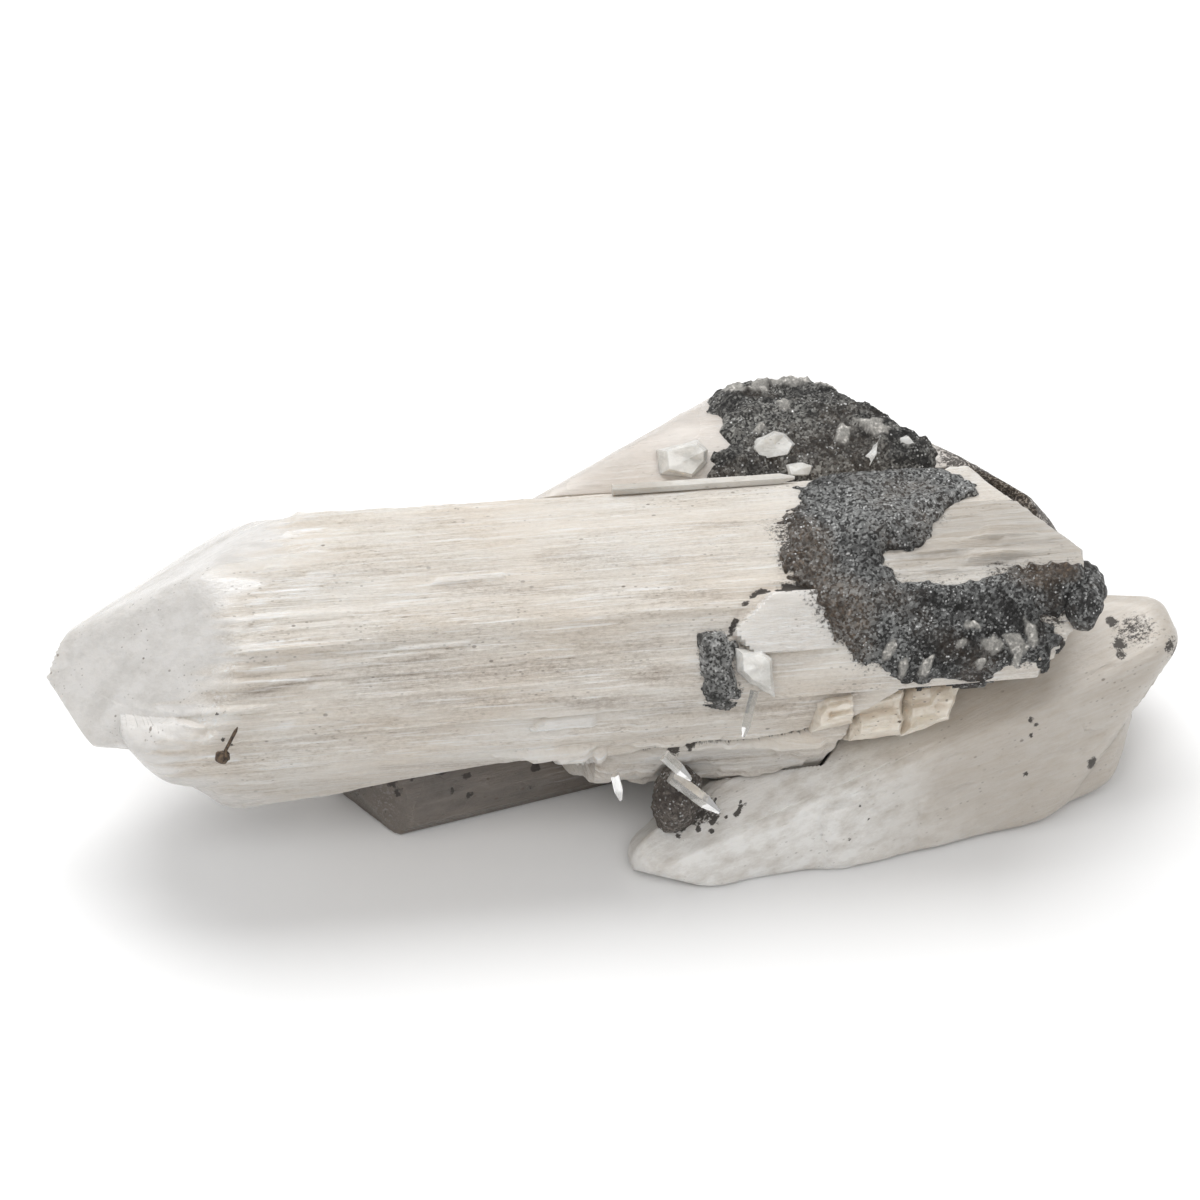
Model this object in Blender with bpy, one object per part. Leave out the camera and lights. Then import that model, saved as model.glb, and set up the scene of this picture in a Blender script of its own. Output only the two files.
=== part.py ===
"""Danburite specimen: intergrown prismatic crystals with grey rock on them.

The drawing is in millimetres and is turned into metres when a mesh is finished.
X runs along the specimen, Y away from its front, Z up, and it lies on Z = 0.

Each crystal has a frame of its own. "along" runs down its length, "around" is an
angle about that length (0 is level to the front, 90 is up) and "lean" tips a face
towards the right end (+) or the left end (-). A crystal is the space inside a list
of such faces (around, lean, distance from the frame's origin).
"""
import math
import random

import bmesh
import bpy
from mathutils import Vector
from mathutils.geometry import delaunay_2d_cdt

# Driving dimensions, in millimetres and degrees
MM = 0.001
GAP = 0.3
FOOTPRINT_MIDDLE = (3.33, 34.22)
SLOPE = 38.0
MAIN_PLACE = ((0.0, 22.2, 24.4), 7.0, 0.0)
BACK_PLACE = ((20.0, 53.0, 18.0), 7.0, 0.0)
FRONT_PLACE = ((42.3, 21.5, 9.5), 24.0, 9.1)
UNDER_PLACE = ((-8.0, 25.0, 4.0), 20.0, 0.0)
GROOVE_PITCH = 2.3
GROOVE_DEPTH = 0.36
GROOVE_PLACE = (0.35, 0.5)
GROOVE_SHARE = (0.5, 1.0)
BLANK = 140.0
JOIN = 2.5

for thing in list(bpy.data.objects):
    bpy.data.objects.remove(thing)


class Frame:
    """Directions of one crystal: along its length, level to the front, and up from it."""

    def __init__(self, place):
        origin, yaw, pitch = place
        yaw, pitch = math.radians(yaw), math.radians(pitch)
        self.origin = Vector(origin)
        run = math.cos(pitch)
        self.along = Vector((run * math.cos(yaw), run * math.sin(yaw), math.sin(pitch)))
        self.level = Vector((math.sin(yaw), -math.cos(yaw), 0.0))
        self.rise = self.level.cross(self.along)

    def radial(self, around):
        turn = math.radians(around)
        return self.level * math.cos(turn) + self.rise * math.sin(turn)

    def normal(self, around, lean):
        tip = math.radians(lean)
        return self.radial(around) * math.cos(tip) + self.along * math.sin(tip)

    def point(self, along, across, toward, slope=SLOPE):
        """Place on a slope round the crystal: along it, up across it, and out from it."""
        out = self.radial(slope) * toward
        return self.origin + self.along * along + self.radial(slope + 90.0) * across + out


MAIN = Frame(MAIN_PLACE)
BACK = Frame(BACK_PLACE)
FRONT = Frame(FRONT_PLACE)
UNDER = Frame(UNDER_PLACE)


# Meshes and solids

def add_object(name, shell):
    bmesh.ops.recalc_face_normals(shell, faces=shell.faces)
    mesh = bpy.data.meshes.new(name)
    shell.to_mesh(mesh)
    shell.free()
    thing = bpy.data.objects.new(name, mesh)
    bpy.context.collection.objects.link(thing)
    return thing


def slice_off(shell, point, normal):
    """Remove what lies beyond a plane and close the cut with one face."""
    geometry = shell.verts[:] + shell.edges[:] + shell.faces[:]
    bmesh.ops.bisect_plane(shell, geom=geometry, dist=1e-5, plane_co=point, plane_no=normal, clear_outer=True)
    rim = [edge for edge in shell.edges if edge.is_boundary]
    if rim:
        bmesh.ops.holes_fill(shell, edges=rim, sides=0)


def convex(name, frame, faces, grow=0.0):
    """Solid inside all the faces, each moved out by grow."""
    shell = bmesh.new()
    bmesh.ops.create_cube(shell, size=2.0 * BLANK)
    bmesh.ops.translate(shell, verts=shell.verts, vec=frame.origin)
    for around, lean, distance in faces:
        normal = frame.normal(around, lean)
        slice_off(shell, frame.origin + normal * (distance + grow), normal)
    return add_object(name, shell)


def section_corners(faces):
    """Corners of the polygon that the lengthwise faces leave, in (level, rise)."""
    corners = [(-BLANK, -BLANK), (BLANK, -BLANK), (BLANK, BLANK), (-BLANK, BLANK)]
    for around, lean, distance in faces:
        if lean:
            continue
        nx, ny = math.cos(math.radians(around)), math.sin(math.radians(around))
        kept = []
        for index, here in enumerate(corners):
            there = corners[(index + 1) % len(corners)]
            here_out = here[0] * nx + here[1] * ny - distance
            there_out = there[0] * nx + there[1] * ny - distance
            if here_out <= 0.0:
                kept.append(here)
            if (here_out < 0.0) != (there_out < 0.0):
                share = here_out / (here_out - there_out)
                kept.append((here[0] + (there[0] - here[0]) * share, here[1] + (there[1] - here[1]) * share))
        corners = kept
    return corners


def grooved_outline(corners, seed):
    """The section's outline with shallow notches, which run down the crystal as grooves."""
    draw = random.Random(seed)
    outline = []
    for index, here in enumerate(corners):
        there = corners[(index + 1) % len(corners)]
        run = (there[0] - here[0], there[1] - here[1])
        length = math.hypot(*run)
        inward = (-run[1] / length, run[0] / length)
        steps = max(1, round(length / GROOVE_PITCH))
        outline.append(here)
        for step in range(steps):
            for place, depth in ((draw.uniform(*GROOVE_PLACE), draw.uniform(*GROOVE_SHARE)), (1.0, 0.0)):
                share = (step + place) / steps
                if share > 0.999:
                    continue
                drop = GROOVE_DEPTH * depth
                outline.append((here[0] + run[0] * share + inward[0] * drop,
                                here[1] + run[1] * share + inward[1] * drop))
    return outline


def striated(name, frame, faces, seed):
    """A crystal whose lengthwise faces are grooved and whose end faces are smooth."""
    outline = grooved_outline(section_corners(faces), seed)
    shell = bmesh.new()
    rings = []
    for along in (-BLANK, BLANK):
        start = frame.origin + frame.along * along
        rings.append([shell.verts.new(start + frame.level * u + frame.rise * v) for u, v in outline])
    shell.faces.new(rings[0])
    shell.faces.new(list(reversed(rings[1])))
    for index in range(len(outline)):
        after = (index + 1) % len(outline)
        shell.faces.new((rings[0][index], rings[1][index], rings[1][after], rings[0][after]))
    bmesh.ops.recalc_face_normals(shell, faces=shell.faces)
    for around, lean, distance in faces:
        if lean:
            normal = frame.normal(around, lean)
            slice_off(shell, frame.origin + normal * distance, normal)
    return add_object(name, shell)


def cut_flat_foot(thing):
    """Take off what would be below the floor, which leaves the flat that the crystal lies on."""
    shell = bmesh.new()
    shell.from_mesh(thing.data)
    slice_off(shell, Vector((0.0, 0.0, 0.0)), Vector((0.0, 0.0, -1.0)))
    shell.to_mesh(thing.data)
    shell.free()


def hull(name, points):
    """Convex solid round a set of points."""
    shell = bmesh.new()
    for point in points:
        shell.verts.new(point)
    result = bmesh.ops.convex_hull(shell, input=shell.verts)
    left_over = set(result["geom_interior"] + result["geom_unused"])
    spare = [item for item in left_over if isinstance(item, bmesh.types.BMVert)]
    bmesh.ops.delete(shell, geom=spare, context="VERTS")
    return add_object(name, shell)


def boolean(target, tool, operation):
    """Join a solid to the target or cut it away, and drop the tool."""
    step = target.modifiers.new(operation.lower(), "BOOLEAN")
    step.operation = operation
    step.solver = "EXACT"
    step.object = tool
    graph = bpy.context.evaluated_depsgraph_get()
    mesh = bpy.data.meshes.new_from_object(target.evaluated_get(graph))
    target.modifiers.clear()
    target.data = mesh
    bpy.data.objects.remove(tool)


def keep_largest(thing):
    """Drop the crumbs that cuts leave, so that the piece is one body."""
    shell = bmesh.new()
    shell.from_mesh(thing.data)
    unseen = set(shell.verts)
    bodies = []
    while unseen:
        front = [unseen.pop()]
        body = list(front)
        while front:
            vertex = front.pop()
            for edge in vertex.link_edges:
                other = edge.other_vert(vertex)
                if other in unseen:
                    unseen.remove(other)
                    front.append(other)
                    body.append(other)
        bodies.append(body)
    bodies.sort(key=len)
    crumbs = [vertex for body in bodies[:-1] for vertex in body]
    bmesh.ops.delete(shell, geom=crumbs, context="VERTS")
    shell.to_mesh(thing.data)
    shell.free()


def join(target, tool):
    boolean(target, tool, "UNION")


def cut(target, tool):
    boolean(target, tool, "DIFFERENCE")


def depth_under_view(frame, rods, along, across, slope=SLOPE):
    """How far out the surface of some rods stands at a place, seen square to a slope."""
    start = frame.point(along, across, 0.0, slope) - frame.origin
    sight = frame.radial(slope)
    best = None
    for faces in rods:
        low, high = -BLANK, BLANK
        for around, lean, distance in faces:
            normal = frame.normal(around, lean)
            facing = normal.dot(sight)
            room = distance - normal.dot(start)
            if abs(facing) < 1e-6:
                if room < 0.0:
                    high = -2.0 * BLANK
            elif facing > 0.0:
                high = min(high, room / facing)
            else:
                low = max(low, room / facing)
        if high > low and (best is None or high > best):
            best = high
    return best


# Faces of the crystals: (around, lean, distance)

PRISM = [(38, 0, 18.5), (5, 0, 19.5), (-25, 0, 17.0), (-52, 0, 9.5), (-90, 0, 12.5), (-125, 0, 15.0),
         (-160, 0, 19.0), (165, 0, 20.5), (128, 0, 18.2), (98, 0, 16.8), (68, 0, 17.2),
         (50, -36, 42.3), (116, -25, 34.4), (112, -50, 56.4), (190, -40, 46.3), (-60, -57, 60.4),
         (118, 40, 46.4), (20, 78, 62.8), (-52, 50, 47.3), (200, 55, 58.0)]
LOWER_ROD = [(38, 0, 17.4), (5, 0, 18.5), (-25, 0, 17.5), (-52, 0, 14.6), (-90, 0, 14.5), (-140, 0, 12.0),
             (180, 0, 12.0), (128, 0, -7.4), (90, 0, 11.0),
             (50, -36, 44.3), (-60, -57, 55.8), (-52, 28, 25.6)]
BOTTOM_ROD = [(38, 0, 15.0), (5, 0, 17.5), (-25, 0, 18.0), (-90, 0, 17.0), (-140, 0, 12.0), (180, 0, 10.0),
              (128, 0, 3.0), (85, 0, 10.0), (-52, 0, 19.5),
              (-52, 6, 13.7), (50, -36, 40.7), (-60, -57, 52.7), (-30, 70, 9.4)]
LEDGE_ROD = [(38, 0, 14.2), (5, 0, 16.5), (-25, 0, 18.2), (-90, 0, 17.5), (-140, 0, 10.0), (180, 0, 8.0),
             (128, 0, 2.0), (85, 0, 8.0), (-52, 0, 21.0),
             (-52, -5.5, 18.7), (-20, -65, 10.0), (-40, 50, 33.5)]
SIDE_CRYSTAL = [(40, 7.5, 21.9), (128, 0, 4.0), (-52, 0, 3.6), (128, -40.5, -10.1), (-52, -50, -10.87),
                (38, 80, 36.0), (218, 0, -13.0)]
MAIN_RODS = [PRISM, LOWER_ROD, BOTTOM_ROD, LEDGE_ROD]

# Rows of laths on the front of the main crystal: across, left end, right limit
LATH_ROWS = [(15.6, -39.6, 20.0), (13.2, -42.4, 20.0), (11.0, -44.0, 21.0), (8.8, -46.4, 21.0),
             (6.6, -45.0, 20.0), (4.6, -44.2, 19.0), (2.6, -46.0, 13.0), (0.6, -49.2, 9.0),
             (-1.4, -51.2, 9.0), (-3.4, -52.4, 9.0), (-5.4, -53.6, 9.0), (-7.2, -54.6, 9.0),
             (-9.2, -34.0, 8.0), (-11.4, -40.0, 12.0), (-13.2, -36.0, 4.0)]
LATH_LENGTH = (9.0, 30.0)
LATH_SPACE = (2.0, 9.0)
LATH_WIDTH = (1.3, 2.1)
LATH_PROUD = (0.35, 0.95)
LATH_SIDE = 78.0
LATH_LEFT_FACE = (60.0, -50.0)
LATH_RIGHT_FACE = (-30.0, 65.0)

REAR_CRYSTAL = [(38, 0, 17.5), (75, 0, 18.4), (105, 0, 18.8), (128, 0, 19.8), (160, 0, 18.5), (200, 0, 16.5),
                (235, 0, 16.0), (0, 0, 17.0), (-40, 0, 18.0), (-90, 0, 18.6),
                (128, -25.5, 18.95), (190, -38, 34.0), (40, -50, 38.0), (-60, -55, 40.0),
                (128, 33, 22.5), (38, 62, 42.0), (200, 50, 40.0)]
REAR_STEP = [(38, 0, 15.0), (128, 0, 4.0), (165, 0, 20.5), (200, 0, 19.0), (240, 0, 17.0), (-90, 0, 17.0),
             (75, 0, 14.0), (0, 0, 12.0), (-40, 0, 14.0),
             (150, -40, 38.0), (-60, -50, 36.0), (128, 32, 21.0), (38, 62, 40.0), (-60, 50, 36.0)]
REAR_RODS = [REAR_CRYSTAL, REAR_STEP]

NEAR_TOP = [(128, 0, 8.0), (165, 0, 11.0), (218, 0, 9.0), (-60, 0, 19.0), (75, 0, 12.0), (20, 0, 13.0),
            (20, -6.2, 11.05), (75, -5.3, 6.7), (38, -60, 40.0), (128, -75, 41.9), (128, -15, 11.4),
            (-52, -35.4, 27.3), (218, -45, 32.5), (-52, 33, 21.7), (20, 78, 37.2), (128, 24, 18.3)]
NEAR_MIDDLE = [(20, 0, 10.6), (75, 0, 4.0), (128, 0, -2.0), (218, 0, 8.0), (-60, 0, 17.0),
               (38, -55, 20.0), (-52, 52, 28.3), (20, 70, 28.6), (218, -45, 20.0)]
NEAR_FOOT = [(20, 0, 11.4), (75, 0, 2.0), (128, 0, -6.0), (218, 0, 6.0), (-60, 0, 20.5),
             (38, -50, 10.0), (-52, 33, 21.5), (20, 70, 21.0), (218, -45, 10.0)]
NEAR_RODS = [NEAR_TOP, NEAR_MIDDLE, NEAR_FOOT]

LOW_CRYSTAL = [(0, 0, 9.0), (28, 0, 8.6), (-32, 0, 8.7), (90, 0, 6.5), (180, 0, 9.0), (215, 0, 9.0),
               (-90, 0, 4.6), (140, 0, 8.5),
               (10, -50, 22.0), (-35, -62, 24.5), (120, -35, 17.0), (190, -50, 25.0),
               (10, 55, 27.0), (150, 45, 23.0)]

# Outlines of what lies on the crystals: (along, across) seen square to a slope

CRUST_SLOPE = 65.0
FRONT_CRUST = [(26.4, 13.0), (25.4, 9.6), (24.2, 5.8), (23.0, 2.0), (23.5, -2.2), (23.8, -6.0), (25.2, -9.2),
               (28.4, -11.4), (30.6, -13.4), (33.6, -15.2), (36.4, -16.3), (40.2, -16.3), (44.6, -16.4),
               (49.0, -16.2), (54.4, -15.6), (56.4, -12.6), (54.4, -9.8), (58.0, -8.7), (61.2, -7.0),
               (60.6, -3.8), (57.6, -3.0), (50.0, -4.2), (43.2, -5.1), (37.0, -4.9), (35.3, -1.6),
               (36.6, 0.4), (40.4, 1.2), (42.2, 3.4), (45.2, 6.2), (50.0, 9.8), (49.0, 14.2), (45.6, 16.8), (40.0, 17.4),
               (34.0, 16.9), (29.2, 15.6)]
ROCK_KNOB = ((54.0, 0.2, 19.9), (56.5, 3.8, 19.8), (55.0, -2.2, 19.8), (60.5, 4.3, 20.0), (65.4, 2.3, 19.2),
             (65.0, -0.4, 18.8), (61.0, -1.8, 20.0), (58.0, 3.6, 12.0), (64.4, 2.4, 11.0), (63.4, -1.0, 10.5),
             (57.0, -1.0, 12.0))
BACK_SLOPE = 85.0
BACK_CRUST = [(-3.6, 10.6), (-4.8, 5.4), (-2.9, 2.9), (-3.8, 0.4), (-2.6, -2.2), (-5.4, -2.8), (-6.4, -7.6),
              (-1.6, -8.6), (5.9, -9.2), (12.7, -9.3), (19.6, -9.4), (25.2, -8.4), (24.8, -4.6), (21.4, -1.2),
              (18.6, 3.0), (15.8, 7.2), (15.4, 11.4), (11.0, 14.6), (4.6, 15.4), (-1.0, 14.2)]
POCKET = [(10.7, -0.7), (13.4, -0.4), (15.0, -2.4), (14.6, -5.4), (15.6, -8.2), (14.0, -9.8), (11.2, -9.0),
          (10.5, -4.4)]
PALE_BLOCK_RISE = (14.0, 21.2)
PALE_BLOCK = [(15.0, -2.6), (18.3, -3.1), (19.6, -4.3), (19.6, -9.2), (16.4, -7.2), (14.9, -5.6)]
CREAM_BLOCKS = [([(25.0, -8.8), (30.3, -9.0), (30.2, -13.4), (25.4, -14.2)], 3.0, 16.2),
                ([(30.9, -9.2), (37.4, -9.6), (36.6, -15.6), (30.4, -15.8)], 3.0, 13.6),
                ([(38.1, -9.2), (45.6, -9.2), (43.4, -14.2), (37.4, -15.8)], 3.0, 12.4)]
BACK_BLOCKS = [([(-13.0, 12.0), (-7.4, 12.9), (-6.1, 11.5), (-6.3, 9.8), (-8.7, 7.4), (-13.0, 8.6)],
                11.0, 18.4),
               ([(-0.8, 11.1), (0.7, 12.6), (3.2, 13.4), (4.9, 13.0), (6.3, 11.3), (5.2, 9.4), (0.2, 9.0)],
                10.0, 17.6),
               ([(3.7, 8.7), (6.4, 9.0), (8.1, 8.2), (7.5, 6.7), (4.0, 6.9)], 12.0, 18.9),
               ([(12.8, 7.6), (17.2, 11.0), (16.9, 9.4), (15.4, 6.9)], 12.0, 18.6),
               ([(19.2, 11.4), (21.6, 11.6), (22.8, 9.8), (19.6, 9.0)], 10.0, 17.4)]

# The main crystal and what has grown on it as one piece

def surface_slope(frame, rods, along, across):
    """Angle about the crystal of the face that shows at a place."""
    step = 0.4
    above = depth_under_view(frame, rods, along, across + step)
    below = depth_under_view(frame, rods, along, across - step)
    return SLOPE + math.degrees(math.atan2(below - above, 2.0 * step))


def lath(frame, rods, spec):
    """A long flat-topped strip that stands a little proud, with slanting ends."""
    left, right, across, width, proud = spec
    middle = 0.5 * (left + right)
    around = surface_slope(frame, rods, middle, across)
    spot = frame.point(0.0, across, depth_under_view(frame, rods, middle, across)) - frame.origin
    out, side = frame.radial(around), frame.radial(around + 90.0)
    height, beside = spot.dot(out), spot.dot(side)
    near, far = math.cos(math.radians(LATH_SIDE)), math.sin(math.radians(LATH_SIDE))
    faces = [(around, 0, height + proud), (around + 180, 0, JOIN - height),
             (around + LATH_SIDE, 0, height * near + (beside + 0.5 * width) * far),
             (around - LATH_SIDE, 0, height * near - (beside - 0.5 * width) * far)]
    for end, (turn, lean) in ((left, LATH_LEFT_FACE), (right, LATH_RIGHT_FACE)):
        reach = frame.normal(around + turn, lean).dot(spot + frame.along * end)
        faces.append((around + turn, lean, reach))
    return convex("lath", frame, faces)


def make_main_crystal():
    body = striated("main_crystal", MAIN, PRISM, 11)
    for seed, faces in enumerate((LOWER_ROD, BOTTOM_ROD, LEDGE_ROD), start=12):
        join(body, striated("rod", MAIN, faces, seed))
    join(body, convex("rod", MAIN, SIDE_CRYSTAL))
    draw = random.Random(17)
    for across, left, limit in LATH_ROWS:
        while left < limit - LATH_LENGTH[0]:
            right = min(limit, left + draw.uniform(*LATH_LENGTH))
            spec = (left, right, across, draw.uniform(*LATH_WIDTH), draw.uniform(*LATH_PROUD))
            join(body, lath(MAIN, MAIN_RODS, spec))
            left = right + draw.uniform(*LATH_SPACE)


def clear_of(target, frame, rods):
    """Cut the target back so that it clears some rods by the gap."""
    for faces in rods:
        cut(target, convex("space", frame, faces, grow=GAP))


def make_back_crystal():
    body = striated("back_crystal", BACK, REAR_CRYSTAL, 21)
    join(body, striated("rod", BACK, REAR_STEP, 22))
    cut_flat_foot(body)
    clear_of(body, MAIN, MAIN_RODS)


def make_front_crystal():
    body = striated("front_crystal", FRONT, NEAR_TOP, 31)
    join(body, striated("rod", FRONT, NEAR_MIDDLE, 32))
    join(body, striated("rod", FRONT, NEAR_FOOT, 33))
    cut_flat_foot(body)
    clear_of(body, MAIN, MAIN_RODS)
    clear_of(body, BACK, REAR_RODS)


def make_under_crystal():
    body = striated("under_crystal", UNDER, LOW_CRYSTAL, 41)
    cut_flat_foot(body)
    clear_of(body, MAIN, MAIN_RODS)
    clear_of(body, BACK, REAR_RODS)
    clear_of(body, FRONT, NEAR_RODS)


# Blocks and small crystals between and on the big ones

BLOCK_TOP_SHARE = 0.72
BLOCK_SHOULDER = 0.75
BLOCK_TILT = 0.35
NEEDLE_SIDES = 6
NEEDLE_POINT_SHARE = 0.3
NEEDLE_POINT_LENGTH = 1.1
NEEDLE_FLATNESS = 0.8
BOULDER_CORNERS = 26
BOULDER_SWELL = (0.84, 1.08)


def block(name, frame, outline, low, high, grow=0.0):
    """Blunt crystal: an outline at its foot, drawn in towards its middle at its top."""
    middle_along = sum(along for along, across in outline) / len(outline)
    middle_across = sum(across for along, across in outline) / len(outline)
    points = []
    for step, (along, across) in enumerate(outline):
        off_along, off_across = along - middle_along, across - middle_across
        stretch = 1.0 + grow / math.hypot(off_along, off_across)
        tilt = BLOCK_TILT * (step % 3 - 1)
        shoulder = low + BLOCK_SHOULDER * (high - low)
        for share, toward in ((1.0, low), (1.0, shoulder), (BLOCK_TOP_SHARE, high + tilt)):
            points.append(frame.point(middle_along + off_along * share * stretch,
                                      middle_across + off_across * share * stretch,
                                      toward + (grow if toward > low else -grow)))
    return hull(name, points)


def needle(name, start, end, width, grow=0.0):
    """Small six-sided crystal from its root to its point."""
    axis = (end - start).normalized()
    side = axis.orthogonal().normalized()
    other = axis.cross(side)
    tail = start - axis * grow
    shoulder = end - axis * width * NEEDLE_POINT_LENGTH
    points = []
    for ring, radius in ((tail, 0.5 * width + grow), (shoulder, 0.5 * width + grow),
                         (end + axis * grow, 0.5 * width * NEEDLE_POINT_SHARE)):
        for step in range(NEEDLE_SIDES):
            turn = math.tau * (step + 0.3) / NEEDLE_SIDES
            points.append(ring + (side * math.cos(turn) + other * math.sin(turn) * NEEDLE_FLATNESS) * radius)
    return hull(name, points)


def boulder(name, centre, reach, seed):
    """Rough lump: the hull of points scattered over an ellipsoid."""
    draw = random.Random(seed)
    points = []
    for step in range(BOULDER_CORNERS):
        level = 1.0 - 2.0 * (step + 0.5) / BOULDER_CORNERS
        ring = math.sqrt(1.0 - level * level)
        turn = step * math.pi * (3.0 - math.sqrt(5.0))
        swell = draw.uniform(*BOULDER_SWELL)
        points.append(Vector((centre[0] + reach[0] * swell * ring * math.cos(turn),
                              centre[1] + reach[1] * swell * ring * math.sin(turn),
                              centre[2] + reach[2] * swell * level)))
    return hull(name, points)


EDGE_PRISM = (MAIN.point(2.8, 19.0, 2.5), MAIN.point(27.0, 18.9, 2.5), 2.3)
CLEAR_PRISM = (MAIN.point(17.0, -8.2, 19.6), MAIN.point(15.3, -13.9, 18.5), 1.25)
HANGING = [(Vector((1.9, 2.6, 17.2)), Vector((2.7, 2.0, 13.4)), 1.4),
           (MAIN.point(5.6, -15.6, 14.9), MAIN.point(8.8, -19.0, 14.4), 1.9),
           (Vector((9.2, 4.2, 15.6)), Vector((15.4, 2.8, 10.6)), 2.4)]
HANGING_MASS = ((9.8, 6.4, 9.4), (3.3, 3.2, 5.0))


def make_small_crystals():
    pale = block("pale_block", MAIN, PALE_BLOCK, *PALE_BLOCK_RISE)
    clear_of(pale, MAIN, MAIN_RODS + [SIDE_CRYSTAL])
    clear = needle("clear_prism", *CLEAR_PRISM)
    clear_of(clear, MAIN, MAIN_RODS)
    cut(clear, block("space", MAIN, PALE_BLOCK, *PALE_BLOCK_RISE, grow=GAP))
    edge = needle("edge_prism", *EDGE_PRISM)
    clear_of(edge, MAIN, MAIN_RODS)
    clear_of(edge, BACK, REAR_RODS)
    for index, spec in enumerate(HANGING):
        clear_of(needle("hanging_crystal_%d" % (index + 1), *spec), MAIN, MAIN_RODS)
    mass = boulder("hanging_mass", *HANGING_MASS, seed=5)
    clear_of(mass, MAIN, MAIN_RODS)
    clear_of(mass, FRONT, NEAR_RODS)
    for spec in HANGING:
        cut(mass, needle("space", *spec, grow=GAP))
    for index, (outline, low, high) in enumerate(CREAM_BLOCKS):
        cream = block("cream_block_%d" % (index + 1), MAIN, outline, low, high)
        clear_of(cream, MAIN, MAIN_RODS)
        clear_of(cream, FRONT, NEAR_RODS)
        clear_of(cream, BACK, REAR_RODS)
    for index, (outline, low, high) in enumerate(BACK_BLOCKS):
        white = block("back_block_%d" % (index + 1), BACK, outline, low, high)
        clear_of(white, BACK, REAR_RODS)
        clear_of(white, MAIN, MAIN_RODS)
        cut(white, needle("space", *EDGE_PRISM, grow=GAP))


# Rock crusts

CRUST_SPACING = 3.4
DRUSE_SPACING = 1.7
CRUST_RIM = 0.9
FRONT_CRUST_RISE = 2.6
BACK_CRUST_RISE = 2.4
DRUSE_RISE = 2.3
CRUST_SCATTER = 0.3
CRUST_INNER_EDGE = 0.45
CRUST_LEAST_RISE = 0.45
CRUST_RIM_WIDTH = 1.1


def inside(outline, along, across):
    """True where a place lies inside an outline, with its distance from the outline's edge."""
    odd = False
    nearest = BLANK
    for index, here in enumerate(outline):
        there = outline[(index + 1) % len(outline)]
        if (here[1] > across) != (there[1] > across):
            if along < here[0] + (across - here[1]) * (there[0] - here[0]) / (there[1] - here[1]):
                odd = not odd
        run = Vector((there[0] - here[0], there[1] - here[1]))
        offset = Vector((along - here[0], across - here[1]))
        share = min(1.0, max(0.0, offset.dot(run) / run.dot(run)))
        nearest = min(nearest, (offset - run * share).length)
    return odd, nearest


def surface_near(frame, rods, along, across, slope, centre):
    """Surface height at a place, or at the nearest one towards the centre that has crystal under it."""
    for step in range(40):
        share = step / 40.0
        depth = depth_under_view(frame, rods, along + (centre[0] - along) * share,
                                 across + (centre[1] - across) * share, slope)
        if depth is not None:
            return depth
    raise ValueError("no crystal under this crust")


def crust(name, frame, rods, outline, slope, spacing, full, seed):
    """Crust of rock: thin at its outline, lumpy inside, following the crystals that it lies on."""
    draw = random.Random(seed)
    places = list(outline)
    border = [(index, (index + 1) % len(outline)) for index in range(len(outline))]
    along_values = [along for along, across in outline]
    across_values = [across for along, across in outline]
    centre = (sum(along_values) / len(outline), sum(across_values) / len(outline))
    along = min(along_values)
    while along < max(along_values):
        across = min(across_values)
        while across < max(across_values):
            spot = (along + draw.uniform(-CRUST_SCATTER, CRUST_SCATTER) * spacing,
                    across + draw.uniform(-CRUST_SCATTER, CRUST_SCATTER) * spacing)
            within, reach = inside(outline, *spot)
            if within and reach > CRUST_INNER_EDGE * spacing:
                places.append(spot)
            across += spacing
        along += spacing
    flat, edges, faces, *origins = delaunay_2d_cdt([Vector(place) for place in places], border, [], 1, 1e-4)
    shell = bmesh.new()
    tops, feet = [], []
    for spot in flat:
        reach = inside(outline, spot.x, spot.y)[1]
        base = surface_near(frame, rods, spot.x, spot.y, slope, centre)
        rising = min(1.0, reach / (CRUST_RIM_WIDTH * spacing))
        height = CRUST_RIM + (full - CRUST_RIM) * rising * draw.uniform(CRUST_LEAST_RISE, 1.0)
        tops.append(shell.verts.new(frame.point(spot.x, spot.y, base + height, slope)))
        feet.append(shell.verts.new(frame.point(spot.x, spot.y, base - JOIN, slope)))
    used = {}
    for face in faces:
        shell.faces.new([tops[index] for index in face])
        shell.faces.new([feet[index] for index in reversed(face)])
        for step, index in enumerate(face):
            pair = (index, face[(step + 1) % len(face)])
            used[pair] = used.get((pair[1], pair[0]), 0) + 1
    for first, second in used:
        if (second, first) not in used:
            shell.faces.new((tops[second], tops[first], feet[first], feet[second]))
    loose = [vertex for vertex in shell.verts if not vertex.link_faces]
    bmesh.ops.delete(shell, geom=loose, context="VERTS")
    return add_object(name, shell)


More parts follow.
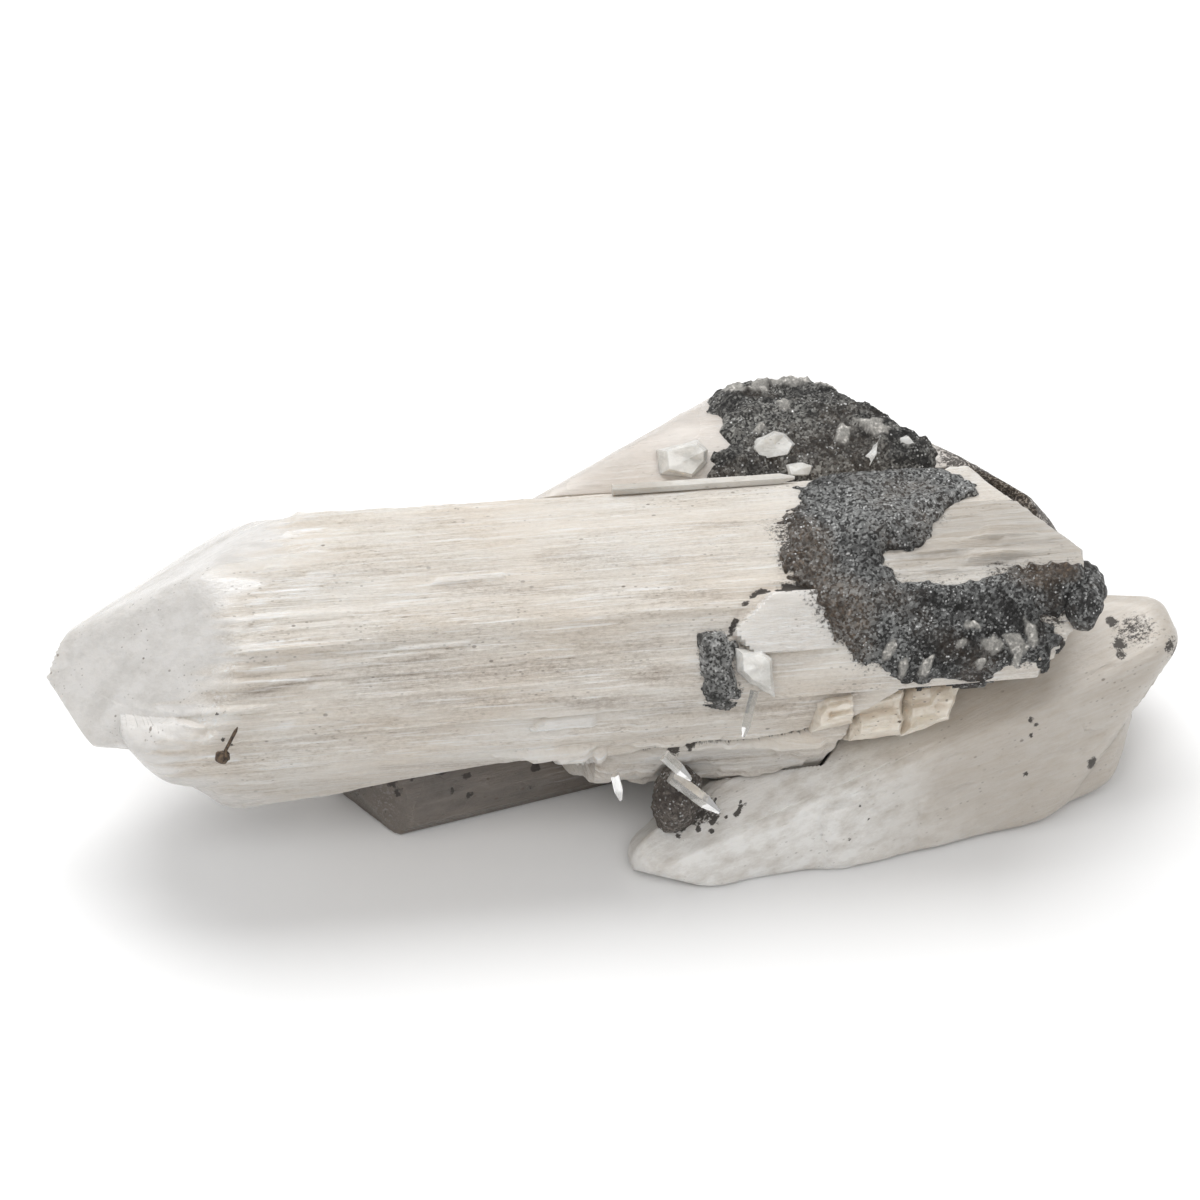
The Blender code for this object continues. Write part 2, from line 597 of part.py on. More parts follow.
def make_crusts():
    front = crust("front_matrix", MAIN, [PRISM], FRONT_CRUST, CRUST_SLOPE, CRUST_SPACING,
                  FRONT_CRUST_RISE, 51)
    join(front, hull("knob", [MAIN.point(*place) for place in ROCK_KNOB]))
    clear_of(front, MAIN, MAIN_RODS + [SIDE_CRYSTAL])
    clear_of(front, BACK, REAR_RODS)
    clear_of(front, FRONT, NEAR_RODS)
    cut(front, needle("space", *EDGE_PRISM, grow=GAP))
    for outline, low, high in CREAM_BLOCKS:
        cut(front, block("space", MAIN, outline, low, high, grow=GAP))
    back = crust("back_matrix", BACK, [REAR_CRYSTAL], BACK_CRUST, BACK_SLOPE, CRUST_SPACING,
                 BACK_CRUST_RISE, 52)
    clear_of(back, BACK, REAR_RODS)
    clear_of(back, MAIN, MAIN_RODS)
    cut(back, needle("space", *EDGE_PRISM, grow=GAP))
    for outline, low, high in BACK_BLOCKS:
        cut(back, block("space", BACK, outline, low, high, grow=GAP))
    pocket = crust("pocket_druse", MAIN, [PRISM], POCKET, SLOPE, DRUSE_SPACING, DRUSE_RISE, 53)
    clear_of(pocket, MAIN, MAIN_RODS + [SIDE_CRYSTAL])
    cut(pocket, block("space", MAIN, PALE_BLOCK, *PALE_BLOCK_RISE, grow=GAP))


# The dry seed on the main crystal

SEED_REACH = (0.95, 0.76, 0.86)
SEED_SPOT = (-49.6, -11.2, 18.3)
STALK_TIP = (-47.4, -7.6, 20.6)
STALK_WIDTH = 0.55


def make_seed():
    button = boulder("seed", MAIN.point(*SEED_SPOT), SEED_REACH, seed=7)
    join(button, needle("stalk", MAIN.point(*SEED_SPOT), MAIN.point(*STALK_TIP), STALK_WIDTH))
    clear_of(button, MAIN, MAIN_RODS)


# Colours, finish and place

FINISHES = {
    "danburite": ((0.72, 0.68, 0.62), 0.38),
    "white_danburite": ((0.78, 0.76, 0.72), 0.30),
    "clear_danburite": ((0.80, 0.80, 0.79), 0.12),
    "rock": ((0.13, 0.13, 0.12), 0.75),
    "seed": ((0.06, 0.045, 0.03), 0.80),
}
FINISH_OF = {
    "main_crystal": "danburite", "back_crystal": "danburite", "front_crystal": "danburite",
    "under_crystal": "danburite", "cream": "danburite", "pale": "white_danburite",
    "back_block": "white_danburite", "clear": "clear_danburite", "edge": "clear_danburite",
    "hanging_crystal": "clear_danburite", "hanging_mass": "rock", "front_matrix": "rock",
    "back_matrix": "rock", "pocket": "rock", "seed": "seed",
}


def add_material(thing):
    finish = next(FINISH_OF[start] for start in FINISH_OF if thing.name.startswith(start))
    colour, roughness = FINISHES[finish]
    material = bpy.data.materials.new(thing.name + "_" + finish)
    material.use_nodes = True
    shader = material.node_tree.nodes["Principled BSDF"]
    shader.inputs["Base Color"].default_value = (*colour, 1.0)
    shader.inputs["Roughness"].default_value = roughness
    shader.inputs["Metallic"].default_value = 0.0
    thing.data.materials.clear()
    thing.data.materials.append(material)


def centre_on_footprint(thing):
    """Bring the middle of the footprint to the origin, and the drawing into metres."""
    middle = Vector((*FOOTPRINT_MIDDLE, 0.0))
    for vertex in thing.data.vertices:
        vertex.co = (vertex.co - middle) * MM


make_main_crystal()
make_back_crystal()
make_front_crystal()
make_under_crystal()
make_small_crystals()
make_crusts()
make_seed()

for thing in bpy.data.objects:
    keep_largest(thing)
    add_material(thing)
    centre_on_footprint(thing)
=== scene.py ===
"""Danburite specimen: the look of its crystals and rock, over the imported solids.

Sizes are in millimetres and become metres when a mesh is finished. Angles are in degrees.
X runs along the specimen, Y away from its front, and Z up from the surface that it lies on.
A crystal has its own directions: along its length, level to the front, and rise.
"""

import itertools

import bpy
import numpy as np
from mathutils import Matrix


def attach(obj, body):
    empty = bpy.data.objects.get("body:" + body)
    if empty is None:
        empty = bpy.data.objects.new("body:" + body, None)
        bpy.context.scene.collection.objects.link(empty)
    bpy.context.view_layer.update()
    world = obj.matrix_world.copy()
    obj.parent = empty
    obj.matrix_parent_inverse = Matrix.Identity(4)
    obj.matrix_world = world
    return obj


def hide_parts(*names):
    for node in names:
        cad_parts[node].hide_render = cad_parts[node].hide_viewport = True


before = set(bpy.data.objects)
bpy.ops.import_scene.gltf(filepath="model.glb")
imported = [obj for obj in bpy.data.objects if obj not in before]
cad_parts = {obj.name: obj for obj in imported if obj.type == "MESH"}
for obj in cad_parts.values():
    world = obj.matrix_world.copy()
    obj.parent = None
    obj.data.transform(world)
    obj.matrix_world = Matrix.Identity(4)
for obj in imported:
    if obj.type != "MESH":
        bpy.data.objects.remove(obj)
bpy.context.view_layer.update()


# Main crystal. A bundle of long danburite prisms that grew side by side into one body, with a smooth
# milky wedge at the left end. Its sides are striated and built of thin laths that end in steps.

MM = 0.001
GAP = 0.3
FOOTPRINT_MIDDLE = np.array([3.33, 34.22, 0.0])
SLOPE = 38.0
FAR = 1e9
LEVEL = 1e-7
TOUCHING = 0.01


def axes_of(yaw, pitch):
    """Unit vectors: along (cos p cos y, cos p sin y, sin p), level (sin y, -cos y, 0),
    rise = level x along."""
    y, p = np.radians([yaw, pitch])
    along = np.array([np.cos(p) * np.cos(y), np.cos(p) * np.sin(y), np.sin(p)])
    level = np.array([np.sin(y), -np.cos(y), 0.0])
    return np.array([along, level, np.cross(level, along)])


def placed(x, y, z):
    """A place measured before the specimen was centred, in the frame."""
    return np.array([x, y, z]) - FOOTPRINT_MIDDLE


def crystal_at(origin, yaw, pitch=0.0):
    return placed(*origin), axes_of(yaw, pitch)


def directions(axes, turns, leans):
    """sin(lean) along + cos(lean) (cos(turn) level + sin(turn) rise)."""
    turn, lean = np.broadcast_arrays(np.radians(turns), np.radians(leans))
    local = np.stack([np.sin(lean), np.cos(lean) * np.cos(turn), np.cos(lean) * np.sin(turn)], axis=-1)
    return local @ axes


def planes_of(crystal, faces, grow=0.0):
    """Rows (n, d) for faces (turn, lean, distance): a face lets in the points p with n . p <= d."""
    origin, axes = crystal
    faces = np.array(faces, float)
    normals = directions(axes, faces[:, 0], faces[:, 1])
    return np.column_stack([normals, faces[:, 2] + grow + normals @ origin])


def crossing(centres, rays, planes):
    """Where centre + t ray enters and leaves the space inside the planes, t = (d - n . centre) / (n . ray).
    A ray along a face is left alone by it."""
    enter = np.full(rays.shape[:-1], -FAR)
    leave = np.full(rays.shape[:-1], FAR)
    for plane in planes:
        facing = rays @ plane[:3]
        t = (plane[3] - centres @ plane[:3]) / np.where(np.abs(facing) < LEVEL, 1.0, facing)
        leave = np.where(facing > LEVEL, np.minimum(leave, t), leave)
        enter = np.where(facing < -LEVEL, np.maximum(enter, t), enter)
    return enter, leave


def reach_of(centres, rays, rods, spaces=()):
    """Distance to the surface: the farthest way out of any rod, cut short where the ray
    enters a neighbour."""
    reach = np.zeros(rays.shape[:-1])
    for rod in rods:
        enter, leave = crossing(centres, rays, rod)
        hit = (leave > enter) & (leave > 0.0)
        reach = np.where(hit, np.maximum(reach, leave), reach)
    for space in spaces:
        enter, leave = crossing(centres, rays, space)
        blocked = (leave > enter) & (leave > 0.0) & (enter < reach)
        reach = np.where(blocked, np.maximum(enter, 0.1), reach)
    return reach


def column_turns(crystal, rods, centre, fine, coarse, seen):
    """Angles about a crystal at even steps along its outline: fine inside the range seen,
    coarse outside it."""
    origin, axes = crystal
    turns = np.linspace(-180.0, 180.0, 3601)
    rays = directions(axes, turns, 0.0)
    points = rays * reach_of(origin + centre @ axes, rays, rods)[:, None]
    lengths = np.linalg.norm(np.diff(points, axis=0), axis=1)
    inside = (turns[:-1] > seen[0]) & (turns[:-1] < seen[1])
    steps = np.concatenate([[0.0], np.cumsum(lengths / np.where(inside, fine, coarse))])
    count = int(steps[-1])
    return np.interp(np.arange(count) * steps[-1] / count, steps, turns)


def spine_rows(spine, spacing, fan):
    """Centres and leans of the rows: a fan of leans -90 to 0 at the left end, even steps
    along, a fan to 90."""
    spine = np.array(spine)
    steps = max(2, int((spine[-1, 0] - spine[0, 0]) / spacing))
    along = np.linspace(spine[0, 0], spine[-1, 0], steps)
    centres = np.stack([along] + [np.interp(along, spine[:, 0], spine[:, axis]) for axis in (1, 2)],
                       axis=-1)
    rise = np.linspace(-90.0, 0.0, fan)[:-1]
    leans = np.concatenate([rise, np.zeros(steps), -rise[::-1]])
    centres = np.concatenate([np.repeat(centres[:1], fan - 1, 0), centres,
                              np.repeat(centres[-1:], fan - 1, 0)])
    return centres, leans


def noise(points, size, seed):
    """Smooth random value, -1 to 1: numbers at the corners of cubes of the size, blended by 3t^2 - 2t^3."""
    grid = points / size
    cell = np.floor(grid).astype(np.int64)
    part = grid - cell
    part = part * part * (3.0 - 2.0 * part)
    total = np.zeros(points.shape[:-1])
    for corner in itertools.product((0, 1), repeat=3):
        key = (cell + corner) @ np.array([73856093, 19349663, 83492791]) + seed * 7919
        key = (key ^ (key >> 13)) * 1274126177 & 0x7FFFFFFF
        weight = np.prod(np.where(np.array(corner) == 1, part, 1.0 - part), axis=-1)
        total += weight * ((key ^ (key >> 11)) % 65536 / 32767.5 - 1.0)
    return total


def step_up(value, edge):
    """Straight climb from 0 to 1 while the value goes from -edge / 2 to edge / 2."""
    return np.clip(value / edge + 0.5, 0.0, 1.0)


def strip_relief(along, beside, strips, edge=0.3):
    """Sum over strips (left, right, middle, half width, rise, slant) of rise inside the strip, 0 outside,
    with edges that climb over a short run. The left end slants: left + slant (beside - middle)."""
    height = np.zeros(along.shape)
    for left, right, middle, half, rise, slant in strips:
        near = np.abs(beside - middle) < half + edge
        off = beside[near] - middle
        run = along[near]
        inside = step_up(half - np.abs(off), edge) * step_up(run - left - slant * off, edge)
        height[near] += rise * inside * step_up(right - run, edge)
    return height


def lay_strips(draw, count, along, beside, length, half, rise, left_end=None):
    """Random strips inside a range; with left_end(beside) given, none starts left of that line."""
    middle = draw.uniform(*beside, count)
    left = draw.uniform(along[0] - 0.5 * length[1], along[1], count)
    run = draw.uniform(*length, count)
    slant = draw.uniform(0.5, 1.3, count)
    if left_end is not None:
        left = np.maximum(left, left_end(middle) + draw.exponential(1.2, count))
    return np.column_stack([left, left + run, middle, draw.uniform(*half, count),
                            draw.uniform(*rise, count), slant])


def line_distance(x, y, line):
    """Distance to a chain of straight pieces: for each,
    |offset - run clip(offset . run / run . run, 0, 1)|."""
    best = np.full(x.shape, FAR)
    for (x0, y0), (x1, y1) in zip(line[:-1], line[1:]):
        run_x, run_y = x1 - x0, y1 - y0
        share = np.clip(((x - x0) * run_x + (y - y0) * run_y) / (run_x ** 2 + run_y ** 2), 0.0, 1.0)
        best = np.minimum(best, np.hypot(x - x0 - share * run_x, y - y0 - share * run_y))
    return best


def edge_distance(x, y, outline):
    """Distance to an outline, positive inside it: inside where a line to the right crosses it
    an odd number of times."""
    odd = np.zeros(x.shape, bool)
    for (x0, y0), (x1, y1) in zip(outline, outline[1:] + outline[:1]):
        if y0 != y1:
            odd ^= ((y0 > y) != (y1 > y)) & (x < x0 + (y - y0) * (x1 - x0) / (y1 - y0))
    return np.where(odd, 1.0, -1.0) * line_distance(x, y, outline + outline[:1])


def build_mesh(name, points, faces, sharp):
    """Mesh from points and arrays of faces, smooth except along edges sharper than the angle."""
    mesh = bpy.data.meshes.new(name)
    sizes = np.concatenate([np.full(len(part), part.shape[1]) for part in faces])
    corners = np.concatenate([part.ravel() for part in faces])
    mesh.vertices.add(len(points))
    mesh.vertices.foreach_set("co", (points * MM).astype(np.float32).ravel())
    mesh.loops.add(len(corners))
    mesh.loops.foreach_set("vertex_index", corners.astype(np.int32))
    mesh.polygons.add(len(sizes))
    mesh.polygons.foreach_set("loop_start", np.concatenate([[0], np.cumsum(sizes)[:-1]]).astype(np.int32))
    mesh.update(calc_edges=True)
    mesh.validate()
    mesh.shade_smooth()
    mesh.set_sharp_from_angle(angle=np.radians(sharp))
    thing = bpy.data.objects.new(name, mesh)
    bpy.context.scene.collection.objects.link(thing)
    return thing


def lattice_order(rows):
    """Values in a closed lattice's vertex order: the first row once, the middle rows, the last row once."""
    return np.concatenate([rows[:1, 0], rows[1:-1].reshape(-1, *rows.shape[2:]), rows[-1:, 0]])


def lattice(name, rows, sharp=35.0):
    """Closed surface over rows of points that run round it; the first and last row are one point each."""
    count, around = rows.shape[0] - 2, rows.shape[1]
    number = 1 + np.arange(count * around).reshape(count, around)
    after = np.roll(number, -1, axis=1)
    quads = np.stack([number[:-1], number[1:], after[1:], after[:-1]], axis=-1).reshape(-1, 4)
    last = count * around + 1
    caps = [np.stack([np.zeros(around, int), number[0], after[0]], axis=-1),
            np.stack([number[-1], np.full(around, last), after[-1]], axis=-1)]
    return build_mesh(name, lattice_order(rows), [quads] + caps, sharp)


def paint(thing, **values):
    """Store values per vertex for the material: numbers, or points as vectors."""
    for name, value in values.items():
        kind, slot = ("FLOAT_VECTOR", "vector") if value.ndim == 2 else ("FLOAT", "value")
        thing.data.attributes.new(name, kind, "POINT").data.foreach_set(slot,
                                                                        value.astype(np.float32).ravel())


def paint_rows(thing, **values):
    """Store values that come per row and column of a lattice."""
    paint(thing, **{name: lattice_order(value) for name, value in values.items()})


def wear(thing, material, slot, *nodes):
    """Give a piece its material, hang it under the root, and hide the solids that it stands for."""
    thing.data.materials.append(material)
    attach(thing, "root")
    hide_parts(*nodes)


def new_material(name):
    material = bpy.data.materials.new(name)
    material.use_nodes = True
    return material, material.node_tree, material.node_tree.nodes["Principled BSDF"]


def feed(tree, made, inputs):
    """Set a node's inputs, by name or number, to numbers, colours or other nodes' outputs."""
    for name, value in inputs.items():
        if isinstance(value, bpy.types.NodeSocket):
            tree.links.new(value, made.inputs[name])
        elif isinstance(value, tuple) and made.inputs[name].type == "RGBA":
            made.inputs[name].default_value = (*value, 1.0)
        else:
            made.inputs[name].default_value = value


def node(tree, kind, inputs=None, **settings):
    made = tree.nodes.new(kind)
    for name, value in settings.items():
        setattr(made, name, value)
    feed(tree, made, inputs or {})
    return made


def attribute(tree, name):
    return node(tree, "ShaderNodeAttribute", attribute_name=name)


def cloud(tree, place, stretch, detail=3.0, roughness=0.55, shift=0.0):
    """Noise value 0 to 1 at the place times the stretch, in lumps per millimetre."""
    spot = node(tree, "ShaderNodeMapping", {"Vector": place, "Scale": stretch,
                                            "Location": (shift, shift, shift)})
    made = node(tree, "ShaderNodeTexNoise", {"Vector": spot.outputs[0], "Scale": 1.0, "Detail": detail,
                                             "Roughness": roughness})
    return made.outputs["Fac"]


def band(tree, value, low, high):
    """0 below low, 1 above high, straight between."""
    return node(tree, "ShaderNodeMapRange", {"Value": value, "From Min": low, "From Max": high}).outputs[0]


def calc(tree, operation, first, second=0.0):
    return node(tree, "ShaderNodeMath", {0: first, 1: second}, operation=operation,
                use_clamp=True).outputs[0]


def blend(tree, share, first, second):
    return node(tree, "ShaderNodeMix", {0: share, 6: first, 7: second}, data_type="RGBA").outputs[2]


def spots(tree, place, per_mm, radius, shift=0.0, stretch=(1.0, 1.0, 1.0)):
    """1 inside small scattered spots: the distance to the nearest random point is under the radius."""
    scale = tuple(per_mm * value for value in stretch)
    spot = node(tree, "ShaderNodeMapping", {"Vector": place, "Scale": scale,
                                            "Location": (shift, shift, shift)})
    cells = node(tree, "ShaderNodeTexVoronoi", {"Vector": spot.outputs[0], "Scale": 1.0})
    return band(tree, cells.outputs["Distance"], radius, radius * 0.6)


DANBURITE_IOR = 1.63


def short_forms(tree, place, shift):
    """For one material: product and sum of two values, and noise patches with edges at low and high."""
    def times(first, second):
        return calc(tree, "MULTIPLY", first, second)

    def plus(first, second):
        return calc(tree, "ADD", first, second)

    def patchy(stretch, detail, roughness, moved, low, high):
        return band(tree, cloud(tree, place, stretch, detail, roughness, shift + moved), low, high)

    return times, plus, patchy


def milky_skin(name, tip, pale, warm, shade, stain=(0.20, 0.14, 0.095), light_stain=(0.44, 0.375, 0.30),
               streaks=1.0, specks=1.0, smooth=0.24, silky=0.38, through=0.35, veining=(0.16, 0.40, 0.40),
               shift=0.0):
    """Milky danburite. Where it is smooth: the tip tone with faint veils. Where it is silky:
    two tones in clouds, with brown lines, grains, mottles and streaks along the crystal, white
    lines and white breaks, lightened and made glossier as painted highlight. Over both: grey shade,
    small dark specks and dirt. The mesh says where it is silky, stained, highlighted, shaded or dirty."""
    material, tree, shader = new_material(name)
    place = attribute(tree, "place").outputs["Vector"]
    silk = attribute(tree, "silk").outputs["Fac"]
    dirt = attribute(tree, "dirt").outputs["Fac"]
    times, plus, patchy = short_forms(tree, place, shift)
    wisps = patchy(veining, 7.0, 0.66, 3.0, 0.42, 0.66)
    veils = blend(tree, times(wisps, 0.75), tip, shade)
    clouds = patchy((0.045, 0.12, 0.12), 3.0, 0.55, 0.0, 0.36, 0.64)
    hue = blend(tree, clouds, pale, warm)
    patches = patchy((0.07, 0.20, 0.20), 3.0, 0.6, 13.0, 0.38, 0.62)
    worn = plus(times(patches, 0.6), 0.4)
    lines = patchy((0.07, 2.3, 2.3), 6.0, 0.78, 7.0, 0.38, 0.68)
    hue = blend(tree, times(times(lines, worn), 0.48 * streaks), hue, light_stain)
    grain = patchy((1.5, 3.2, 3.2), 5.0, 0.78, 5.0, 0.42, 0.70)
    hue = blend(tree, times(times(grain, worn), 0.55 * streaks), hue, light_stain)
    mottle = patchy((0.55, 2.6, 2.6), 5.0, 0.72, 11.0, 0.56, 0.68)
    hue = blend(tree, times(times(mottle, patches), 0.55 * streaks), hue, stain)
    drawn = times(attribute(tree, "stain").outputs["Fac"], plus(times(lines, 0.7), times(grain, 0.6)))
    hue = blend(tree, drawn, hue, stain)
    # Painted highlight: random white lines and the white lath ends, partly white of their own, are lightened
    # to near white and made glossier.
    white = patchy((0.11, 3.1, 3.1), 4.0, 0.66, 17.0, 0.54, 0.66)
    fresh = attribute(tree, "fresh").outputs["Fac"]
    glint = times(plus(times(white, 0.62), times(fresh, plus(times(white, 0.7), 0.4))), silk)
    hue = blend(tree, glint, hue, (0.94, 0.935, 0.92))
    hue = blend(tree, silk, veils, hue)
    hue = blend(tree, attribute(tree, "shade").outputs["Fac"], hue, blend(tree, lines, shade, light_stain))
    scatter = patchy((0.10, 0.20, 0.20), 3.0, 0.6, 19.0, 0.48, 0.60)
    fine = times(spots(tree, place, 1.60, 0.20, shift, (0.5, 1.0, 1.0)), scatter)
    coarse = times(spots(tree, place, 0.50, 0.11, shift + 5.0, (0.6, 1.0, 1.0)), scatter)
    hue = blend(tree, times(calc(tree, "MAXIMUM", times(fine, 0.6), coarse), 0.75 * specks), hue,
                (0.10, 0.07, 0.045))
    crumbs = patchy((2.0, 2.6, 2.6), 4.0, 0.72, 23.0, 0.68, 0.34)
    grime = band(tree, plus(times(dirt, 0.6), times(crumbs, times(dirt, 1.2))), 0.50, 0.75)
    hue = blend(tree, times(grime, 0.95), hue, (0.040, 0.032, 0.026))
    rough = node(tree, "ShaderNodeMapRange", {"Value": silk, "To Min": smooth, "To Max": silky}).outputs[0]
    rough = node(tree, "ShaderNodeMath", {0: rough, 1: times(glint, 0.20)}, operation="SUBTRACT").outputs[0]
    rough = node(tree, "ShaderNodeMath", {0: rough, 1: times(grime, 0.35)}, operation="ADD").outputs[0]
    ridges = cloud(tree, place, (0.12, 2.6, 2.6), 6.0, 0.76, shift + 29.0)
    lumps = cloud(tree, place, (0.5, 0.8, 0.8), 6.0, 0.66, shift + 31.0)
    height = node(tree, "ShaderNodeMix", {0: silk, 2: times(lumps, 0.5), 3: ridges}).outputs[0]
    bump = node(tree, "ShaderNodeBump", {"Strength": 0.8, "Distance": 0.0005, "Height": height})
    feed(tree, shader, {"Base Color": hue, "Roughness": rough, "Normal": bump.outputs[0],
                        "IOR": DANBURITE_IOR, "Subsurface Weight": through,
                        "Subsurface Radius": (1.0, 0.9, 0.78), "Subsurface Scale": 0.003})
    return material


# Each rod is a list of faces (turn, lean, distance), and the rods overlap. Rays start from the spine.
# Sides: (turn that they face, first turn, last turn)
MAIN = crystal_at((0.0, 22.2, 24.4), 7.0)
PRISM = [(38, 0, 18.5), (5, 0, 19.5), (-25, 0, 17.0), (-52, 0, 9.5), (-90, 0, 12.5), (-125, 0, 15.0),
         (-160, 0, 19.0), (165, 0, 20.5), (128, 0, 18.2), (98, 0, 16.8), (68, 0, 17.2), (50, -36, 42.3),
         (116, -25, 34.4), (112, -50, 56.4), (190, -40, 46.3), (-60, -57, 60.4), (118, 40, 46.4),
         (20, 78, 62.8), (-52, 50, 47.3), (200, 55, 58.0)]
LOWER_ROD = [(38, 0, 17.4), (5, 0, 18.5), (-25, 0, 17.5), (-52, 0, 14.6), (-90, 0, 14.5), (-140, 0, 12.0),
             (180, 0, 12.0), (128, 0, -7.4), (90, 0, 11.0), (50, -36, 44.3), (-60, -57, 55.8),
             (-52, 28, 25.6)]
BOTTOM_ROD = [(38, 0, 15.0), (5, 0, 17.5), (-25, 0, 18.0), (-90, 0, 17.0), (-140, 0, 12.0), (180, 0, 10.0),
              (128, 0, 3.0), (85, 0, 10.0), (-52, 0, 19.5), (-52, 6, 13.7), (50, -36, 40.7),
              (-60, -57, 52.7), (-30, 70, 9.4)]
LEDGE_ROD = [(38, 0, 14.2), (5, 0, 16.5), (-25, 0, 18.2), (-90, 0, 17.5), (-140, 0, 10.0), (180, 0, 8.0),
             (128, 0, 2.0), (85, 0, 8.0), (-52, 0, 21.0), (-52, -5.5, 18.7), (-20, -65, 10.0),
             (-40, 50, 33.5)]
SIDE_CRYSTAL = [(40, 7.5, 21.9), (128, 0, 4.0), (-52, 0, 3.6), (128, -40.5, -10.1), (-52, -50, -10.87),
                (38, 80, 36.0), (218, 0, -13.0)]
MAIN_RODS = [planes_of(MAIN, faces) for faces in (PRISM, LOWER_ROD, BOTTOM_ROD, LEDGE_ROD)]
MAIN_SPACES = [planes_of(MAIN, faces, GAP) for faces in (PRISM, LOWER_ROD, BOTTOM_ROD, LEDGE_ROD)]
SIDE_ROD = planes_of(MAIN, SIDE_CRYSTAL)
MAIN_SPINE = [(-61.0, 3.0, 1.0), (-40.0, 1.0, 0.0), (52.0, 0.0, 0.0)]
MAIN_SIDES = [(38.0, -48.0, 92.0), (115.0, 92.0, 150.0), (190.0, 150.0, 252.0), (285.0, 252.0, 312.0)]

# Where the silky laths begin: (across, along), and the seams and gaps on the front as (along, across) lines
SILK_LINE = [(-19.0, -46.0), (-16.0, -50.5), (-12.0, -55.0), (-7.4, -54.2), (-3.1, -51.9), (0.4, -49.8),
             (3.3, -44.8), (7.9, -46.0), (12.7, -42.6), (17.3, -37.9), (20.0, -36.0)]
LEDGE_GAP = [(-3.0, -16.6), (2.3, -15.9), (10.0, -15.2), (17.7, -15.0), (24.7, -14.4)]
SIDE_SEAM = [(14.5, -0.7), (16.8, 2.7), (18.3, 3.9), (20.1, 4.4), (29.5, 4.3)]
POCKET = [(10.7, -0.7), (13.4, -0.4), (15.0, -2.4), (14.6, -5.4), (15.6, -8.2), (14.0, -9.8), (11.2, -9.0),
          (10.5, -4.4)]
ROCK_HALO = [(23.0, 16.0), (21.5, 9.0), (22.0, 3.0), (25.0, -2.0), (30.0, -7.0), (40.0, -8.0), (56.0, -7.0),
             (60.0, 6.0), (50.0, 5.0), (38.0, 3.0), (36.0, 8.0), (44.0, 12.0), (48.0, 17.0)]

# Laths that stand out on the front, and the white ones that carry painted highlights:
# (left, right, across, half width, rise or share, slant)
LATHS = [(-21.7, -13.0, 8.6, 0.40, 0.35, 1.0), (-27.4, -18.0, 0.5, 0.26, 0.25, 1.2),
         (-10.2, -3.0, -10.3, 0.75, 0.7, 1.4), (-8.4, -1.5, -15.2, 0.8, 0.7, 1.2),
         (-28.2, -2.4, -8.6, 0.9, 0.18, 1.2), (-12.0, -3.6, -14.2, 0.7, 0.45, 1.0),
         (-54.0, -44.0, -5.6, 0.4, 0.30, 0.8), (-51.5, -38.0, -2.6, 0.5, 0.22, 0.8),
         (-48.5, -30.0, 1.6, 0.6, 0.20, 0.9), (-46.0, -22.0, 5.4, 0.6, 0.15, 0.9),
         (-36.0, -4.0, -4.8, 0.7, 0.14, 1.0), (-30.0, 6.0, -12.4, 0.8, 0.18, 1.0),
         (2.0, 22.0, -11.6, 0.7, 0.35, 1.0)]
WHITE_HIGHLIGHT_LATHS = [(-21.7, -13.0, 8.6, 0.35, 0.7, 1.0), (-10.2, -3.0, -10.3, 0.7, 0.9, 1.4),
                (-8.4, -1.5, -15.2, 0.8, 0.8, 1.2), (-55.0, -47.0, -6.4, 0.5, 0.8, 0.8),
                (-56.0, -50.0, -4.9, 0.3, 0.9, 0.8), (-50.0, -42.0, 0.6, 0.3, 0.8, 0.9),
                (-48.0, -41.0, 2.4, 0.4, 0.7, 0.9), (-27.4, -18.0, 0.7, 0.22, 0.8, 1.2),
                (-24.0, -6.0, -11.6, 0.5, 0.5, 1.0), (-20.0, -8.0, -13.4, 0.4, 0.6, 1.0),
                (4.0, 20.0, -16.6, 0.4, 0.8, 1.0), (9.0, 24.0, -17.9, 0.35, 0.8, 1.0),
                (-2.0, 10.0, -18.4, 0.4, 0.7, 1.0), (2.0, 14.0, -19.8, 0.3, 0.7, 1.0),
                (-43.0, -36.0, 8.6, 0.6, 0.5, 0.9), (-12.0, -3.6, -14.2, 0.6, 0.7, 1.0)]

